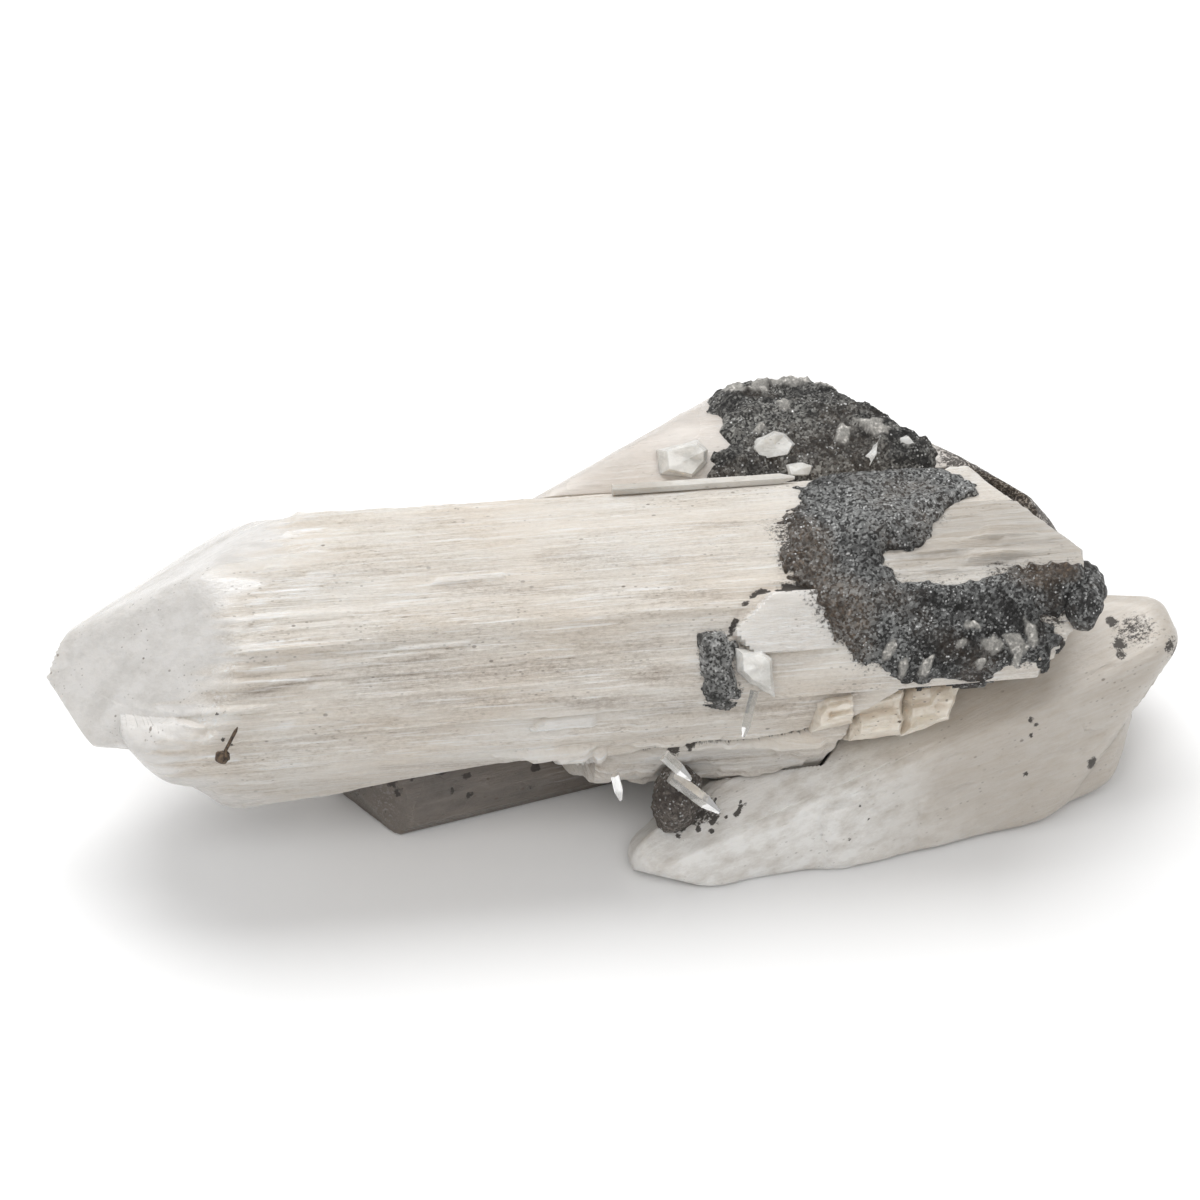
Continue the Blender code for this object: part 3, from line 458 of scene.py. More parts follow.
# Dark crumbs, most along its lower edge: (along, across, radius). The dark line round its
# right end. Brown streaks: (line, width, share)
MAIN_SPOTS = [(-38.2, -18.5, 0.8), (-37.2, -18.7, 0.6), (-40.6, -18.3, 0.3), (-15.6, -18.0, 0.5),
              (-10.6, -17.8, 0.7), (-12.4, -18.0, 0.4), (-8.0, -17.8, 0.6), (-4.2, -17.5, 0.5),
              (-21.0, -18.2, 0.4), (-33.6, -17.8, 0.3), (-49.3, -9.0, 0.35), (-48.3, -9.9, 0.3),
              (-49.9, -5.8, 0.25), (7.5, -15.6, 0.9), (9.5, -15.3, 0.6)]
END_LINE = [(49.0, 15.6), (53.0, 14.2), (56.6, 12.4), (59.4, 9.0)]
MAIN_STAINS = [([(-32.0, -3.0), (-6.5, -3.4), (10.0, -6.0)], 1.5, 0.7),
               ([(-25.0, -6.3), (-8.0, -7.6), (9.0, -9.4)], 1.0, 0.8),
               ([(-50.0, -4.4), (-36.0, -2.0), (-22.0, -0.8)], 0.5, 0.8),
               ([(-20.0, 7.6), (-6.0, 6.2), (20.0, 3.4)], 0.8, 0.45),
               ([(-14.0, 15.4), (10.0, 13.6), (24.0, 12.4)], 0.9, 0.45),
               ([(-8.0, 10.6), (16.0, 8.8)], 0.7, 0.4), ([(-4.0, -1.0), (9.0, -1.4)], 1.6, 0.5),
               ([(-30.0, -14.6), (-12.0, -15.6), (-2.0, -15.9)], 0.5, 0.6),
               ([(-4.0, -17.2), (24.0, -17.1)], 0.5, 1.0), ([(0.0, -19.2), (22.0, -18.8)], 0.4, 0.9),
               ([(16.0, -10.6), (24.0, -11.4), (31.0, -9.6)], 1.2, 0.6),
               ([(44.0, 10.6), (56.0, 9.4)], 0.35, 1.0), ([(40.0, 14.0), (52.0, 12.4)], 0.3, 0.9),
               ([(39.0, 7.0), (54.0, 5.8)], 0.4, 0.8), ([(46.0, 8.2), (52.0, 7.6)], 0.3, 0.9)]


# Random laths: count, then the ranges of left end, across, length, half width and rise
BROAD_LATHS = (40, (-60.0, 55.0), (-20.0, 20.0), (20.0, 70.0), (0.6, 2.2), (0.03, 0.12))
FINE_LATHS = (330, (-60.0, 60.0), (-20.0, 20.0), (4.0, 30.0), (0.12, 0.45), (0.02, 0.10))
END_LATHS = (90, (-58.0, -36.0), (-20.0, 20.0), (4.0, 20.0), (0.15, 0.6), (0.05, 0.16))
BROKEN_END = (50, (44.0, 52.0), (5.0, 17.0), (3.0, 8.0), (0.2, 0.9), (0.05, 0.22))
BROKEN_LEDGE = (80, (-14.0, 24.0), (-22.0, -13.5), (2.0, 13.0), (0.12, 0.6), (0.08, 0.45))
COLUMN_STEPS = (0.25, 0.9)
ROW_STEP = 0.48
FAN_ROWS = 34
SEEN_TURNS = (-60.0, 138.0)
FIRST_TURN, FRONT_END = MAIN_SIDES[0][1:]
PLAIN_SILK_START = -40.0
SILK_EDGE = 5.0
SILK_DROP = 0.20
TIP_BLUR = 22
TIP_SLACK = 0.3
TIP_RANGE = (-67.0, -20.0)
GAP_WIDTH, GAP_DEPTH = 0.38, 1.6
SEAM_WIDTH, SEAM_DEPTH = 0.42, 0.25
POCKET_FADE = 0.9
END_LINE_WIDTH = 0.45
ALONG_ONLY = np.array([0.2, 1.0, 1.0])


def silk_start(across):
    line = np.array(SILK_LINE)
    return np.interp(across, line[:, 0], line[:, 1])


def across_of(local, slope=SLOPE):
    """Up across the slope: -sin(slope) level + cos(slope) rise."""
    return -local[..., 1] * np.sin(np.radians(slope)) + local[..., 2] * np.cos(np.radians(slope))


def star_rays(crystal, rods, middle, steps, seen, spine, row, fan):
    """Grid of rays about a centre line: the turns of its columns, the rays and the points they start from."""
    origin, axes = crystal
    turns = column_turns(crystal, rods, middle, *steps, seen)
    centres, leans = spine_rows(spine, row, fan)
    rays = directions(axes, turns[None, :], leans[:, None])
    return turns, rays, (origin + centres @ axes)[:, None, :]


def spot_at(along, across, x, y, width, height=None):
    """Round or oval spot: exp(-(x offset / width)^2 - (y offset / height)^2)."""
    return np.exp(-((along - x) / width) ** 2 - ((across - y) / (height or width)) ** 2)


def line_mark(along, across, line, width):
    """Mark along a line: exp(-(distance / width)^2)."""
    return np.exp(-(line_distance(along, across, line) / width) ** 2)


def soften(values, passes):
    """Blur over a lattice: each pass replaces a value by a quarter of each neighbour and half
    of itself, first round the rows and then along them."""
    for step in range(passes):
        values = 0.5 * values + 0.25 * (np.roll(values, 1, 1) + np.roll(values, -1, 1))
        padded = np.concatenate([values[:1], values, values[-1:]])
        values = 0.5 * values + 0.25 * (padded[:-2] + padded[2:])
    return values


def main_crystal():
    """Points centre + reach(turn, lean) ray, moved out along the ray by the relief of laths,
    seams and waves. Near the left tip the reach is blurred, so its edges are soft."""
    origin, axes = MAIN
    draw = np.random.default_rng(17)
    turns, rays, middles = star_rays(MAIN, MAIN_RODS, np.zeros(3), COLUMN_STEPS, SEEN_TURNS, MAIN_SPINE,
                                     ROW_STEP, FAN_ROWS)
    reach = reach_of(middles, rays, MAIN_RODS + [SIDE_ROD])
    enter, leave = crossing(middles, rays, SIDE_ROD)
    on_side = (leave > enter) & (leave > 0.0) & (np.abs(leave - reach) < TOUCHING)
    points = middles + rays * reach[..., None]
    local = (points - origin) @ axes.T
    along = local[..., 0]
    turned = np.where(turns < FIRST_TURN, turns + 360.0, turns)
    relief = np.zeros(along.shape)
    silk = np.zeros(along.shape)
    fresh = np.zeros(along.shape)
    for turn, first, last in MAIN_SIDES:
        columns = (turned >= first) & (turned < last)
        beside, run = across_of(local, turn)[:, columns], along[:, columns]
        in_front = turn == SLOPE
        start = silk_start if in_front else (lambda value: np.full(value.shape, PLAIN_SILK_START))
        broad, fine, ends = [lay_strips(draw, *kind, start)
                             for kind in (BROAD_LATHS, FINE_LATHS, END_LATHS)]
        broken, ledge = [lay_strips(draw, *kind) for kind in (BROKEN_END, BROKEN_LEDGE)]
        strips = np.concatenate([broad, fine, ends, broken])
        if in_front:
            strips = np.concatenate([strips, ledge, LATHS])
        spot = np.stack([run, beside, 0.0 * run], axis=-1)
        wobble = 2.0 * noise(spot, 2.6, 3) + 4.5 * noise(spot * np.array([0.06, 1.0, 1.0]), 0.7, 4)
        ready = step_up(run - start(beside) + wobble, SILK_EDGE)
        silk[:, columns] = ready
        relief[:, columns] = strip_relief(run, beside, strips, 0.24) - SILK_DROP * ready
        # Short white lath ends, partly painted highlight, on every side.
        tips = ends[::2]
        tips = np.column_stack([tips[:, 0], tips[:, 0] + draw.uniform(1.0, 5.0, len(tips)), tips[:, 2],
                                0.6 * tips[:, 3], draw.uniform(0.3, 1.0, len(tips)), tips[:, 5]])
        if in_front:
            tips = np.concatenate([tips, WHITE_HIGHLIGHT_LATHS])
        fresh[:, columns] = np.clip(strip_relief(run, beside, tips, 0.3), 0.0, 1.0)
    tip = 1.0 - silk
    soft_tip = soften(tip, 8) * step_up(TIP_RANGE[1] - along, 6.0) * step_up(along - TIP_RANGE[0], 8.0)
    reach = reach + soft_tip * (np.minimum(soften(reach, TIP_BLUR), reach + TIP_SLACK) - reach)
    points = middles + rays * reach[..., None]
    across = across_of(local)
    front = (turned < FRONT_END)[None, :]
    # The side crystal: silkier low down, and whitened with painted highlight, most on its lower part.
    silk = np.where(on_side, 0.2 + 0.6 * step_up(2.0 - across, 3.0), silk)
    fresh = np.where(on_side, 0.5 + 0.5 * step_up(0.0 - across, 2.0), fresh)
    relief = np.where(on_side, 0.05 * noise(local * np.array([0.15, 1.0, 1.0]), 0.9, 9), relief)
    gap = front * line_mark(along, across, LEDGE_GAP, GAP_WIDTH)
    seam = front * line_mark(along, across, SIDE_SEAM, SEAM_WIDTH)
    pocket = front * np.exp(-(np.maximum(-edge_distance(along, across, POCKET), 0.0) / POCKET_FADE) ** 2)
    relief += -GAP_DEPTH * gap - SEAM_DEPTH * seam
    relief += tip * (0.14 * noise(local, 8.0, 5) + 0.04 * noise(local, 2.0, 6))
    relief += silk * 0.05 * noise(local * ALONG_ONLY, 0.6, 7)
    points = points + rays * relief[..., None]
    thing = lattice("main_crystal_skin", points)
    near_rock = step_up(edge_distance(along, across, ROCK_HALO) + 2.4 * noise(local, 2.6, 10), 6.0) * front
    dirt = 0.66 * gap + seam * (noise(local, 0.9, 8) > -0.3) + 0.45 * pocket
    dirt = dirt + 0.66 * near_rock * np.where(on_side, 0.7, 1.0)
    for x, y, radius in MAIN_SPOTS:
        dirt = np.maximum(dirt, front * spot_at(along, across, x, y, radius))
    dirt = np.maximum(dirt, 0.9 * front * line_mark(along, across, END_LINE, END_LINE_WIDTH))
    stain = np.zeros(along.shape)
    for line, width, share in MAIN_STAINS:
        stain = np.maximum(stain, share * line_mark(along, across, line, width))
    stain = front * stain * np.clip(0.75 + 0.6 * noise(local, 4.0, 12), 0.0, 1.0)
    bare = step_up(along - 36.0, 3.0) * step_up(across - 4.5, 3.0)
    shade = np.clip(0.8 * bare + 0.30 * step_up(-15.0 - across, 4.0), 0.0, 1.0) * front
    paint_rows(thing, place=local, silk=silk, fresh=fresh * (1.0 - bare), shade=shade, stain=stain,
               dirt=np.clip(dirt, 0.0, 1.0))
    return thing


main = main_crystal()
wear(main, milky_skin("striated danburite", tip=(0.70, 0.68, 0.655), pale=(0.84, 0.805, 0.75),
                      warm=(0.81, 0.74, 0.655), shade=(0.55, 0.53, 0.50)), "danburite", "main_crystal")


# Back crystal. The second big crystal, behind the main one and parallel to it, milky and smoother.

BACK = crystal_at((20.0, 53.0, 18.0), 7.0)
REAR_CRYSTAL = [(38, 0, 17.5), (75, 0, 18.4), (105, 0, 18.8), (128, 0, 19.8), (160, 0, 18.5),
                (200, 0, 16.5), (235, 0, 16.0), (0, 0, 17.0), (-40, 0, 18.0), (-90, 0, 18.6),
                (128, -25.5, 18.95), (190, -38, 34.0), (40, -50, 38.0), (-60, -55, 40.0), (128, 33, 22.5),
                (38, 62, 42.0), (200, 50, 40.0)]
REAR_STEP = [(38, 0, 15.0), (128, 0, 4.0), (165, 0, 20.5), (200, 0, 19.0), (240, 0, 17.0), (-90, 0, 17.0),
             (75, 0, 14.0), (0, 0, 12.0), (-40, 0, 14.0), (150, -40, 38.0), (-60, -50, 36.0),
             (128, 32, 21.0), (38, 62, 40.0), (-60, 50, 36.0)]
FLOOR_PLANE = np.array([[0.0, 0.0, -1.0, 0.0]])


def on_floor(crystal, *parts):
    """Planes of each rod, cut off at the floor."""
    return [np.vstack([planes_of(crystal, faces), FLOOR_PLANE]) for faces in parts]


BACK_RODS = on_floor(BACK, REAR_CRYSTAL, REAR_STEP)
BACK_SPACES = [planes_of(BACK, faces, GAP) for faces in (REAR_CRYSTAL, REAR_STEP)]

# Random strips on the back, front and under crystals: ranges of left end, across, length and half
# width, and the least rise
PLAIN_STRIPS = ((-60.0, 60.0), (-22.0, 22.0), (8.0, 45.0), (0.4, 1.8))
LEAST_RISE = 0.03
PLAIN_DROP = 0.12
STEP_SLACK = 0.4


def plain_crystal(name, crystal, rods, spaces, spine, seen, fine, coarse, row, fan, strips_for, seed,
                  wave=0.14, soft_below=None, passes=26):
    """Points centre + reach(turn, lean) ray + relief ray, with random strips beside each of the sides.
    Lower than soft_below the steps between rods are blurred into slopes."""
    origin, axes = crystal
    draw = np.random.default_rng(seed)
    middle = np.array(spine[len(spine) // 2])
    turns, rays, middles = star_rays(crystal, rods, middle, (fine, coarse), seen, spine, row, fan)
    free = reach_of(middles, rays, rods)
    if soft_below is not None:
        low = soften(step_up(soft_below - (middles + rays * free[..., None])[..., 2], 3.0), 6)
        free = free + low * (np.minimum(soften(free, passes), free + STEP_SLACK) - free)
    reach = np.minimum(free, reach_of(middles, rays, rods, spaces))
    points = middles + rays * reach[..., None]
    local = (points - origin) @ axes.T
    relief = wave * noise(local, 6.0, seed) + 0.05 * noise(local, 1.7, seed + 1)
    for turn, first, last, count, rise in strips_for:
        columns = (np.mod(turns - first, 360.0) < last - first)
        beside = across_of(local, turn)[:, columns]
        strips = lay_strips(draw, count, *PLAIN_STRIPS, (LEAST_RISE, rise))
        relief[:, columns] += strip_relief(local[..., 0][:, columns], beside, strips, 0.4)
    open_side = (free - reach < TOUCHING) & (points[..., 2] > 0.4)
    relief = np.where(open_side, relief - PLAIN_DROP, 0.0)
    points = points + rays * relief[..., None]
    points[..., 2] = np.maximum(points[..., 2], 0.0)
    return local, lattice(name, points)


def back_crystal():
    sides = [(38, -20, 70, 60, 0.12), (100, 70, 150, 60, 0.12), (200, 150, 260, 40, 0.12)]
    local, thing = plain_crystal("back_crystal_skin", BACK, BACK_RODS, MAIN_SPACES,
                                 [(-26.0, 0.0, 3.0), (30.0, 0.0, 2.0)], seen=(40.0, 180.0), fine=0.34,
                                 coarse=0.7, row=0.50, fan=30, strips_for=sides, seed=21, soft_below=60.0,
                                 passes=7)
    silk = np.clip(0.45 + 0.5 * noise(local, 9.0, 24), 0.0, 0.8)
    dirt = 0.62 * step_up(local[..., 0] - 24.0, 6.0) * step_up(local[..., 1] + 4.0, 4.0)
    paint_rows(thing, place=local, silk=silk, dirt=dirt)
    return thing


back = back_crystal()
wear(back, milky_skin("milky danburite", tip=(0.62, 0.58, 0.54), pale=(0.62, 0.58, 0.53),
                      warm=(0.60, 0.52, 0.45), shade=(0.50, 0.47, 0.44), streaks=0.5, specks=0.5,
                      shift=40.0), "danburite", "back_crystal")


# Front crystal. The third big crystal, lower and turned outwards, grey white and cloudy inside.

FRONT = crystal_at((42.3, 21.5, 9.5), 24.0, 9.1)
NEAR_TOP = [(128, 0, 8.0), (165, 0, 11.0), (218, 0, 9.0), (-60, 0, 19.0), (75, 0, 12.0), (20, 0, 13.0),
            (20, -6.2, 11.05), (75, -5.3, 6.7), (38, -60, 40.0), (128, -75, 41.9), (128, -15, 11.4),
            (-52, -35.4, 27.3), (218, -45, 32.5), (-52, 33, 21.7), (20, 78, 37.2), (128, 24, 18.3)]
NEAR_MIDDLE = [(20, 0, 10.6), (75, 0, 4.0), (128, 0, -2.0), (218, 0, 8.0), (-60, 0, 17.0), (38, -55, 20.0),
               (-52, 52, 28.3), (20, 70, 28.6), (218, -45, 20.0)]
NEAR_FOOT = [(20, 0, 11.4), (75, 0, 2.0), (128, 0, -6.0), (218, 0, 6.0), (-60, 0, 20.5), (38, -50, 10.0),
             (-52, 33, 21.5), (20, 70, 21.0), (218, -45, 10.0)]
FRONT_RODS = on_floor(FRONT, NEAR_TOP, NEAR_MIDDLE, NEAR_FOOT)
FRONT_SPACES = [planes_of(FRONT, faces, GAP) for faces in (NEAR_TOP, NEAR_MIDDLE, NEAR_FOOT)]

# Speckled zones: (share, along, across, half length, half width). Dark spots: (along, across, radius)
FRONT_DIRT = [(0.62, -32.5, 0.7, 3.4, 1.4), (0.55, 30.0, 1.5, 4.6, 3.4), (0.5, 34.0, -3.0, 2.6, 4.0)]
FRONT_SPOTS = [(11.5, -3.7, 0.4), (11.0, -5.7, 0.35), (12.0, -4.6, 0.3), (8.9, -10.5, 0.35),
               (18.3, -12.9, 0.8), (28.0, 3.6, 0.7), (27.1, 0.7, 0.8), (26.4, -0.6, 0.6), (33.2, -2.0, 0.7),
               (29.4, 2.0, 0.4)]


def front_crystal():
    sides = [(20, -60, 60, 50, 0.07), (100, 60, 150, 50, 0.10)]
    local, thing = plain_crystal("front_crystal_skin", FRONT, FRONT_RODS, MAIN_SPACES + BACK_SPACES,
                                 [(-32.0, 2.0, -3.0), (26.0, 0.0, 0.0)], seen=(-60.0, 150.0), fine=0.30,
                                 coarse=0.9, row=0.45, fan=34, strips_for=sides, seed=31, wave=0.30,
                                 soft_below=40.0)
    silk = np.clip(0.15 + 0.3 * noise(local, 9.0, 34), 0.0, 0.5)
    along = local[..., 0]
    across = across_of(local)
    draw = np.random.default_rng(35)
    crumbs = [(draw.normal(x, 2.4), draw.normal(y, 1.1), draw.uniform(0.15, 0.35))
              for x, y in [(-32.5, 0.6)] * 34]
    crumbs += [(draw.normal(x, 1.6), draw.normal(y, 2.2), draw.uniform(0.12, 0.22))
               for x, y in [(-14.0, -6.0)] * 7]
    dirt = np.zeros(along.shape)
    for share, *zone in FRONT_DIRT:
        dirt = np.maximum(dirt, share * spot_at(along, across, *zone))
    for x, y, radius in crumbs + FRONT_SPOTS:
        dirt = np.maximum(dirt, spot_at(along, across, x, y, 1.2 * radius))
    shade = np.clip(step_up(along + 6.0 + 5.0 * noise(local, 9.0, 36), 20.0) * 0.75, 0.0, 1.0)
    paint_rows(thing, place=local, silk=silk, dirt=dirt, shade=shade)
    return thing


front = front_crystal()
wear(front, milky_skin("cloudy danburite", tip=(0.82, 0.81, 0.785), pale=(0.79, 0.75, 0.70),
                       warm=(0.71, 0.63, 0.56), shade=(0.50, 0.46, 0.41), streaks=0.4, specks=0.8,
                       smooth=0.3, veining=(0.22, 0.45, 0.45), shift=80.0), "danburite", "front_crystal")


# Under crystal. A lower crystal below the main one, in its shade, with brown on its skin. Its
# colours are darkened as painted shade.

UNDER = crystal_at((-8.0, 25.0, 4.0), 20.0)
LOW_CRYSTAL = [(0, 0, 9.0), (28, 0, 8.6), (-32, 0, 8.7), (90, 0, 6.5), (180, 0, 9.0), (215, 0, 9.0),
               (-90, 0, 4.6), (140, 0, 8.5), (10, -50, 22.0), (-35, -62, 24.5), (120, -35, 17.0),
               (190, -50, 25.0), (10, 55, 27.0), (150, 45, 23.0)]
UNDER_RODS = on_floor(UNDER, LOW_CRYSTAL)


def under_crystal():
    local, thing = plain_crystal("under_crystal_skin", UNDER, UNDER_RODS,
                                 MAIN_SPACES + BACK_SPACES + FRONT_SPACES,
                                 [(-22.0, 0.0, -1.0), (22.0, 0.0, -1.0)], seen=(-60.0, 110.0), fine=0.34,
                                 coarse=0.9, row=0.5, fan=20, strips_for=[(10, -60, 60, 40, 0.15)], seed=41)
    silk = np.clip(0.4 + 0.4 * noise(local, 6.0, 44), 0.0, 0.8)
    dirt = np.clip(3.0 * noise(local, 1.2, 45) - 1.0, 0.0, 1.0) * step_up(local[..., 2] + 1.0, 4.0)
    paint_rows(thing, place=local, silk=silk, dirt=dirt)
    return thing


under = under_crystal()
# Painted shade: the same danburite as the other crystals, painted dark for the shade under the main crystal.
wear(under, milky_skin("danburite in painted shade", tip=(0.18, 0.155, 0.135), pale=(0.19, 0.16, 0.135),
                       warm=(0.15, 0.12, 0.10), shade=(0.10, 0.09, 0.08), streaks=0.4, specks=1.2,
                       shift=120.0), "danburite", "under_crystal")


# Front rock. A crust of dark grainy rock over the right end of the main crystal, thin and ragged at its
# left edge, with a lump on its right end and white pebbles in its lower part.

CRUST_SLOPE = 65.0
CRUST_DEPTH = 1.2
CRUST_OVERHANG = 0.7
PEBBLE_SIDES = 6
THIN_END = (25.0, 34.0)
THIN_FRAY = (2.2, 1.0)
THIN_RISE = (0.25, 1.0)
FRONT_CRUST = [(26.4, 13.0), (25.4, 9.6), (24.2, 5.8), (23.0, 2.0), (24.2, -2.2), (25.2, -6.0),
               (27.0, -8.9), (29.4, -11.2), (30.6, -13.0), (33.6, -14.4), (36.4, -15.2), (40.2, -15.3),
               (44.6, -15.3), (49.0, -15.2), (54.4, -14.8), (56.4, -12.6), (54.4, -9.8), (58.0, -8.7),
               (61.2, -7.0), (60.6, -3.8), (57.6, -3.0), (50.0, -4.2), (43.2, -5.1), (37.0, -4.9),
               (35.3, -1.6), (36.6, 0.4), (40.4, 1.2), (42.2, 3.4), (45.2, 6.2), (50.0, 9.8), (49.0, 14.2),
               (45.6, 16.8), (40.0, 17.4), (34.0, 16.9), (29.2, 15.6)]
PEBBLES = [(36.1, -14.6, 0.8, 0.8), (39.2, -14.6, 1.2, 1.2), (46.3, -14.8, 0.8, 0.7),
           (47.7, -13.4, 1.2, 0.8), (50.4, -13.0, 1.7, 0.6), (52.8, -12.0, 1.5, 0.5),
           (51.0, -14.6, 1.0, 0.5), (34.3, -13.0, 1.2, 0.4), (43.6, -12.6, 0.7, 0.4),
           (45.2, -10.8, 0.9, 0.3)]


def crust_sheet(name, crystal, rods, slope, outline, spacing, rise, seed, ragged=0.7, pebbles=(),
                grain=0.55, zones=(), thin_end=False):
    """Height field over a plane at the slope: base(along, across) + rise step(edge) lumps + grains,
    kept a little past its outline, and closed by the same field at its depth in the crystal."""
    origin, axes = crystal
    corners = np.array(outline)
    low, high = corners.min(0) - 1.5, corners.max(0) + 1.5
    along, across = np.meshgrid(np.arange(low[0], high[0], spacing), np.arange(low[1], high[1], spacing),
                                indexing="ij")
    out, up = directions(axes, slope, 0.0), directions(axes, slope + 90.0, 0.0)
    starts = origin + along[..., None] * axes[0] + across[..., None] * up
    rays = np.broadcast_to(out, starts.shape)
    base = np.full(along.shape, -FAR)
    for rod in rods:
        enter, leave = crossing(starts, rays, rod)
        base = np.where(leave > enter, np.maximum(base, leave), base)
    while (base == -FAR).any():
        for axis, shift in ((0, 1), (0, -1), (1, 1), (1, -1)):
            base = np.where(base == -FAR, np.roll(base, shift, axis), base)
    spot = np.stack([along, across, base], axis=-1)
    edge = edge_distance(along, across, outline)
    frayed = ragged * (np.interp(along, THIN_END, THIN_FRAY) if thin_end else 1.0)
    edge = edge + frayed * (0.9 * noise(spot, 2.6, seed) + 0.8 * noise(spot, 0.9, seed + 1))
    lumps = 0.62 + 0.30 * noise(spot, 4.2, seed + 2) + 0.22 * noise(spot, 1.9, seed + 3)
    thick = rise * np.interp(along, THIN_END, THIN_RISE) if thin_end else rise
    height = thick * step_up(edge - 1.1, 2.6) * lumps + np.minimum(edge, 0.4)
    grains = 0.5 * noise(spot, 0.75, seed + 4) + 0.5 * noise(spot, 0.42, seed + 5)
    height = height + grain * grains * step_up(edge, 1.0)
    pale = np.zeros(along.shape)
    for number, (place_along, place_across, radius, rising) in enumerate(pebbles):
        sides = np.radians(np.arange(PEBBLE_SIDES) * 60.0 + 37.0 * number)[:, None, None]
        flat = (along - place_along) * np.cos(sides) + (across - place_across) * np.sin(sides)
        reach = radius * (0.8 + 0.35 * np.sin(2.3 * number + 1.7 * np.arange(PEBBLE_SIDES)))[:, None, None]
        off = (flat / reach).max(axis=0) + 0.25 * noise(spot, 0.8, seed + 6)
        height = height + rising * step_up(1.0 - off, 0.7) * (1.0 - 0.3 * np.clip(off, 0.0, 1.0))
        pale = np.maximum(pale, step_up(0.95 - off, 0.3))
    keep = edge > -CRUST_OVERHANG
    top = starts + (base + height)[..., None] * out
    foot = starts + (base - CRUST_DEPTH)[..., None] * out
    cells = keep[:-1, :-1] & keep[1:, :-1] & keep[1:, 1:] & keep[:-1, 1:]
    number = np.arange(along.size).reshape(along.shape)
    quads = np.stack([number[:-1, :-1], number[1:, :-1], number[1:, 1:], number[:-1, 1:]], axis=-1)[cells]
    pairs = np.concatenate([quads[:, [side, (side + 1) % 4]] for side in range(4)])
    keys = {(a, b) for a, b in pairs.tolist()}
    rim = np.array([(a, b) for a, b in keys if (b, a) not in keys])
    walls = np.stack([rim[:, 1], rim[:, 0], rim[:, 0] + along.size, rim[:, 1] + along.size], axis=-1)
    faces = np.concatenate([quads, quads[:, ::-1] + along.size, walls])
    used, faces = np.unique(faces, return_inverse=True)
    points = np.concatenate([top.reshape(-1, 3), foot.reshape(-1, 3)])[used]
    thing = build_mesh(name, points, [faces.reshape(-1, 4)], 60.0)
    local = (points - origin) @ axes.T
    across = across_of(local)
    tones = {"grey": np.zeros(len(local)), "rust": np.zeros(len(local))}
    for tone, x, y, long, wide, share in zones:
        off = ((local[:, 0] - x) / long) ** 2 + ((across - y) / wide) ** 2
        off = off + 0.5 * noise(local, 2.4, seed + 9)
        tones[tone] = np.maximum(tones[tone], share * step_up(1.0 - off, 1.2))
    paint(thing, place=local, pale=np.concatenate([pale.ravel(), pale.ravel()])[used], **tones)
    return thing


def rock_skin(name, dark, middle, light, brown, browning=0.4, sparkle=0.10, shift=0.0):
    """Grainy rock: black and grey patches, each broken up by coarse and fine random cells,
    dark or light. Lighter or rusty where the mesh says so, with a few white cells that are partly
    painted sparkle and made glossier. Pebbles are pale stone."""
    material, tree, shader = new_material(name)
    place = attribute(tree, "place").outputs["Vector"]
    grey_share = attribute(tree, "grey").outputs["Fac"]
    times, plus, patchy = short_forms(tree, place, shift)

    def grains(per_mm):
        spot = node(tree, "ShaderNodeMapping",
                    {"Vector": place, "Scale": (per_mm, per_mm, per_mm), "Location": (shift, 0.0, 0.0)})
        cells = node(tree, "ShaderNodeTexVoronoi", {"Vector": spot.outputs[0], "Scale": 1.0})
        parts = node(tree, "ShaderNodeSeparateColor", {0: cells.outputs["Color"]})
        return cells.outputs["Distance"], parts.outputs

    edge, tints = grains(3.2)
    rim, big = grains(1.25)
    patch = patchy((0.30, 0.30, 0.30), 6.0, 0.70, 0.0, 0.46, 0.55)
    fine = patchy((1.6, 1.6, 1.6), 6.0, 0.80, 4.0, 0.44, 0.62)
    share = plus(times(patch, 0.42), times(grey_share, 0.85))
    share = plus(share, times(band(tree, big[0], 0.55, 1.0), 0.35))
    hue = blend(tree, share, dark, middle)
    hue = blend(tree, times(fine, plus(times(share, 0.7), 0.05)), hue, light)
    hue = blend(tree, times(band(tree, tints[0], 0.62, 0.80), plus(times(share, 0.6), 0.12)), hue, light)
    hue = blend(tree, times(band(tree, tints[1], 0.58, 0.64), 0.85), hue, dark)
    warm = patchy((0.13, 0.13, 0.13), 4.0, 0.6, 9.0, 0.50, 0.66)
    warm = calc(tree, "MAXIMUM", times(warm, browning), attribute(tree, "rust").outputs["Fac"])
    hue = blend(tree, times(warm, plus(times(fine, 0.6), 0.15)), hue, brown)
    # Painted sparkle: a few cells, partly white grains of their own, are painted near white and made
    # glossier.
    white = times(band(tree, tints[2], 1.0 - sparkle, 1.02 - sparkle), band(tree, edge, 0.55, 0.35))
    white = times(white, patchy((0.30, 0.30, 0.30), 3.0, 0.6, 6.0, 0.44, 0.56))
    hue = blend(tree, white, hue, (0.80, 0.80, 0.79))
    stone = blend(tree, fine, (0.74, 0.71, 0.66), (0.42, 0.41, 0.38))
    hue = blend(tree, attribute(tree, "pale").outputs["Fac"], hue, stone)
    rough = node(tree, "ShaderNodeMapRange", {"Value": white, "To Min": 0.62, "To Max": 0.20})
    height = plus(times(tints[0], 0.45), times(fine, 0.55))
    bump = node(tree, "ShaderNodeBump", {"Strength": 1.0, "Distance": 0.0004, "Height": height})
    feed(tree, shader, {"Base Color": hue, "Roughness": rough.outputs[0], "Normal": bump.outputs[0]})
    return material


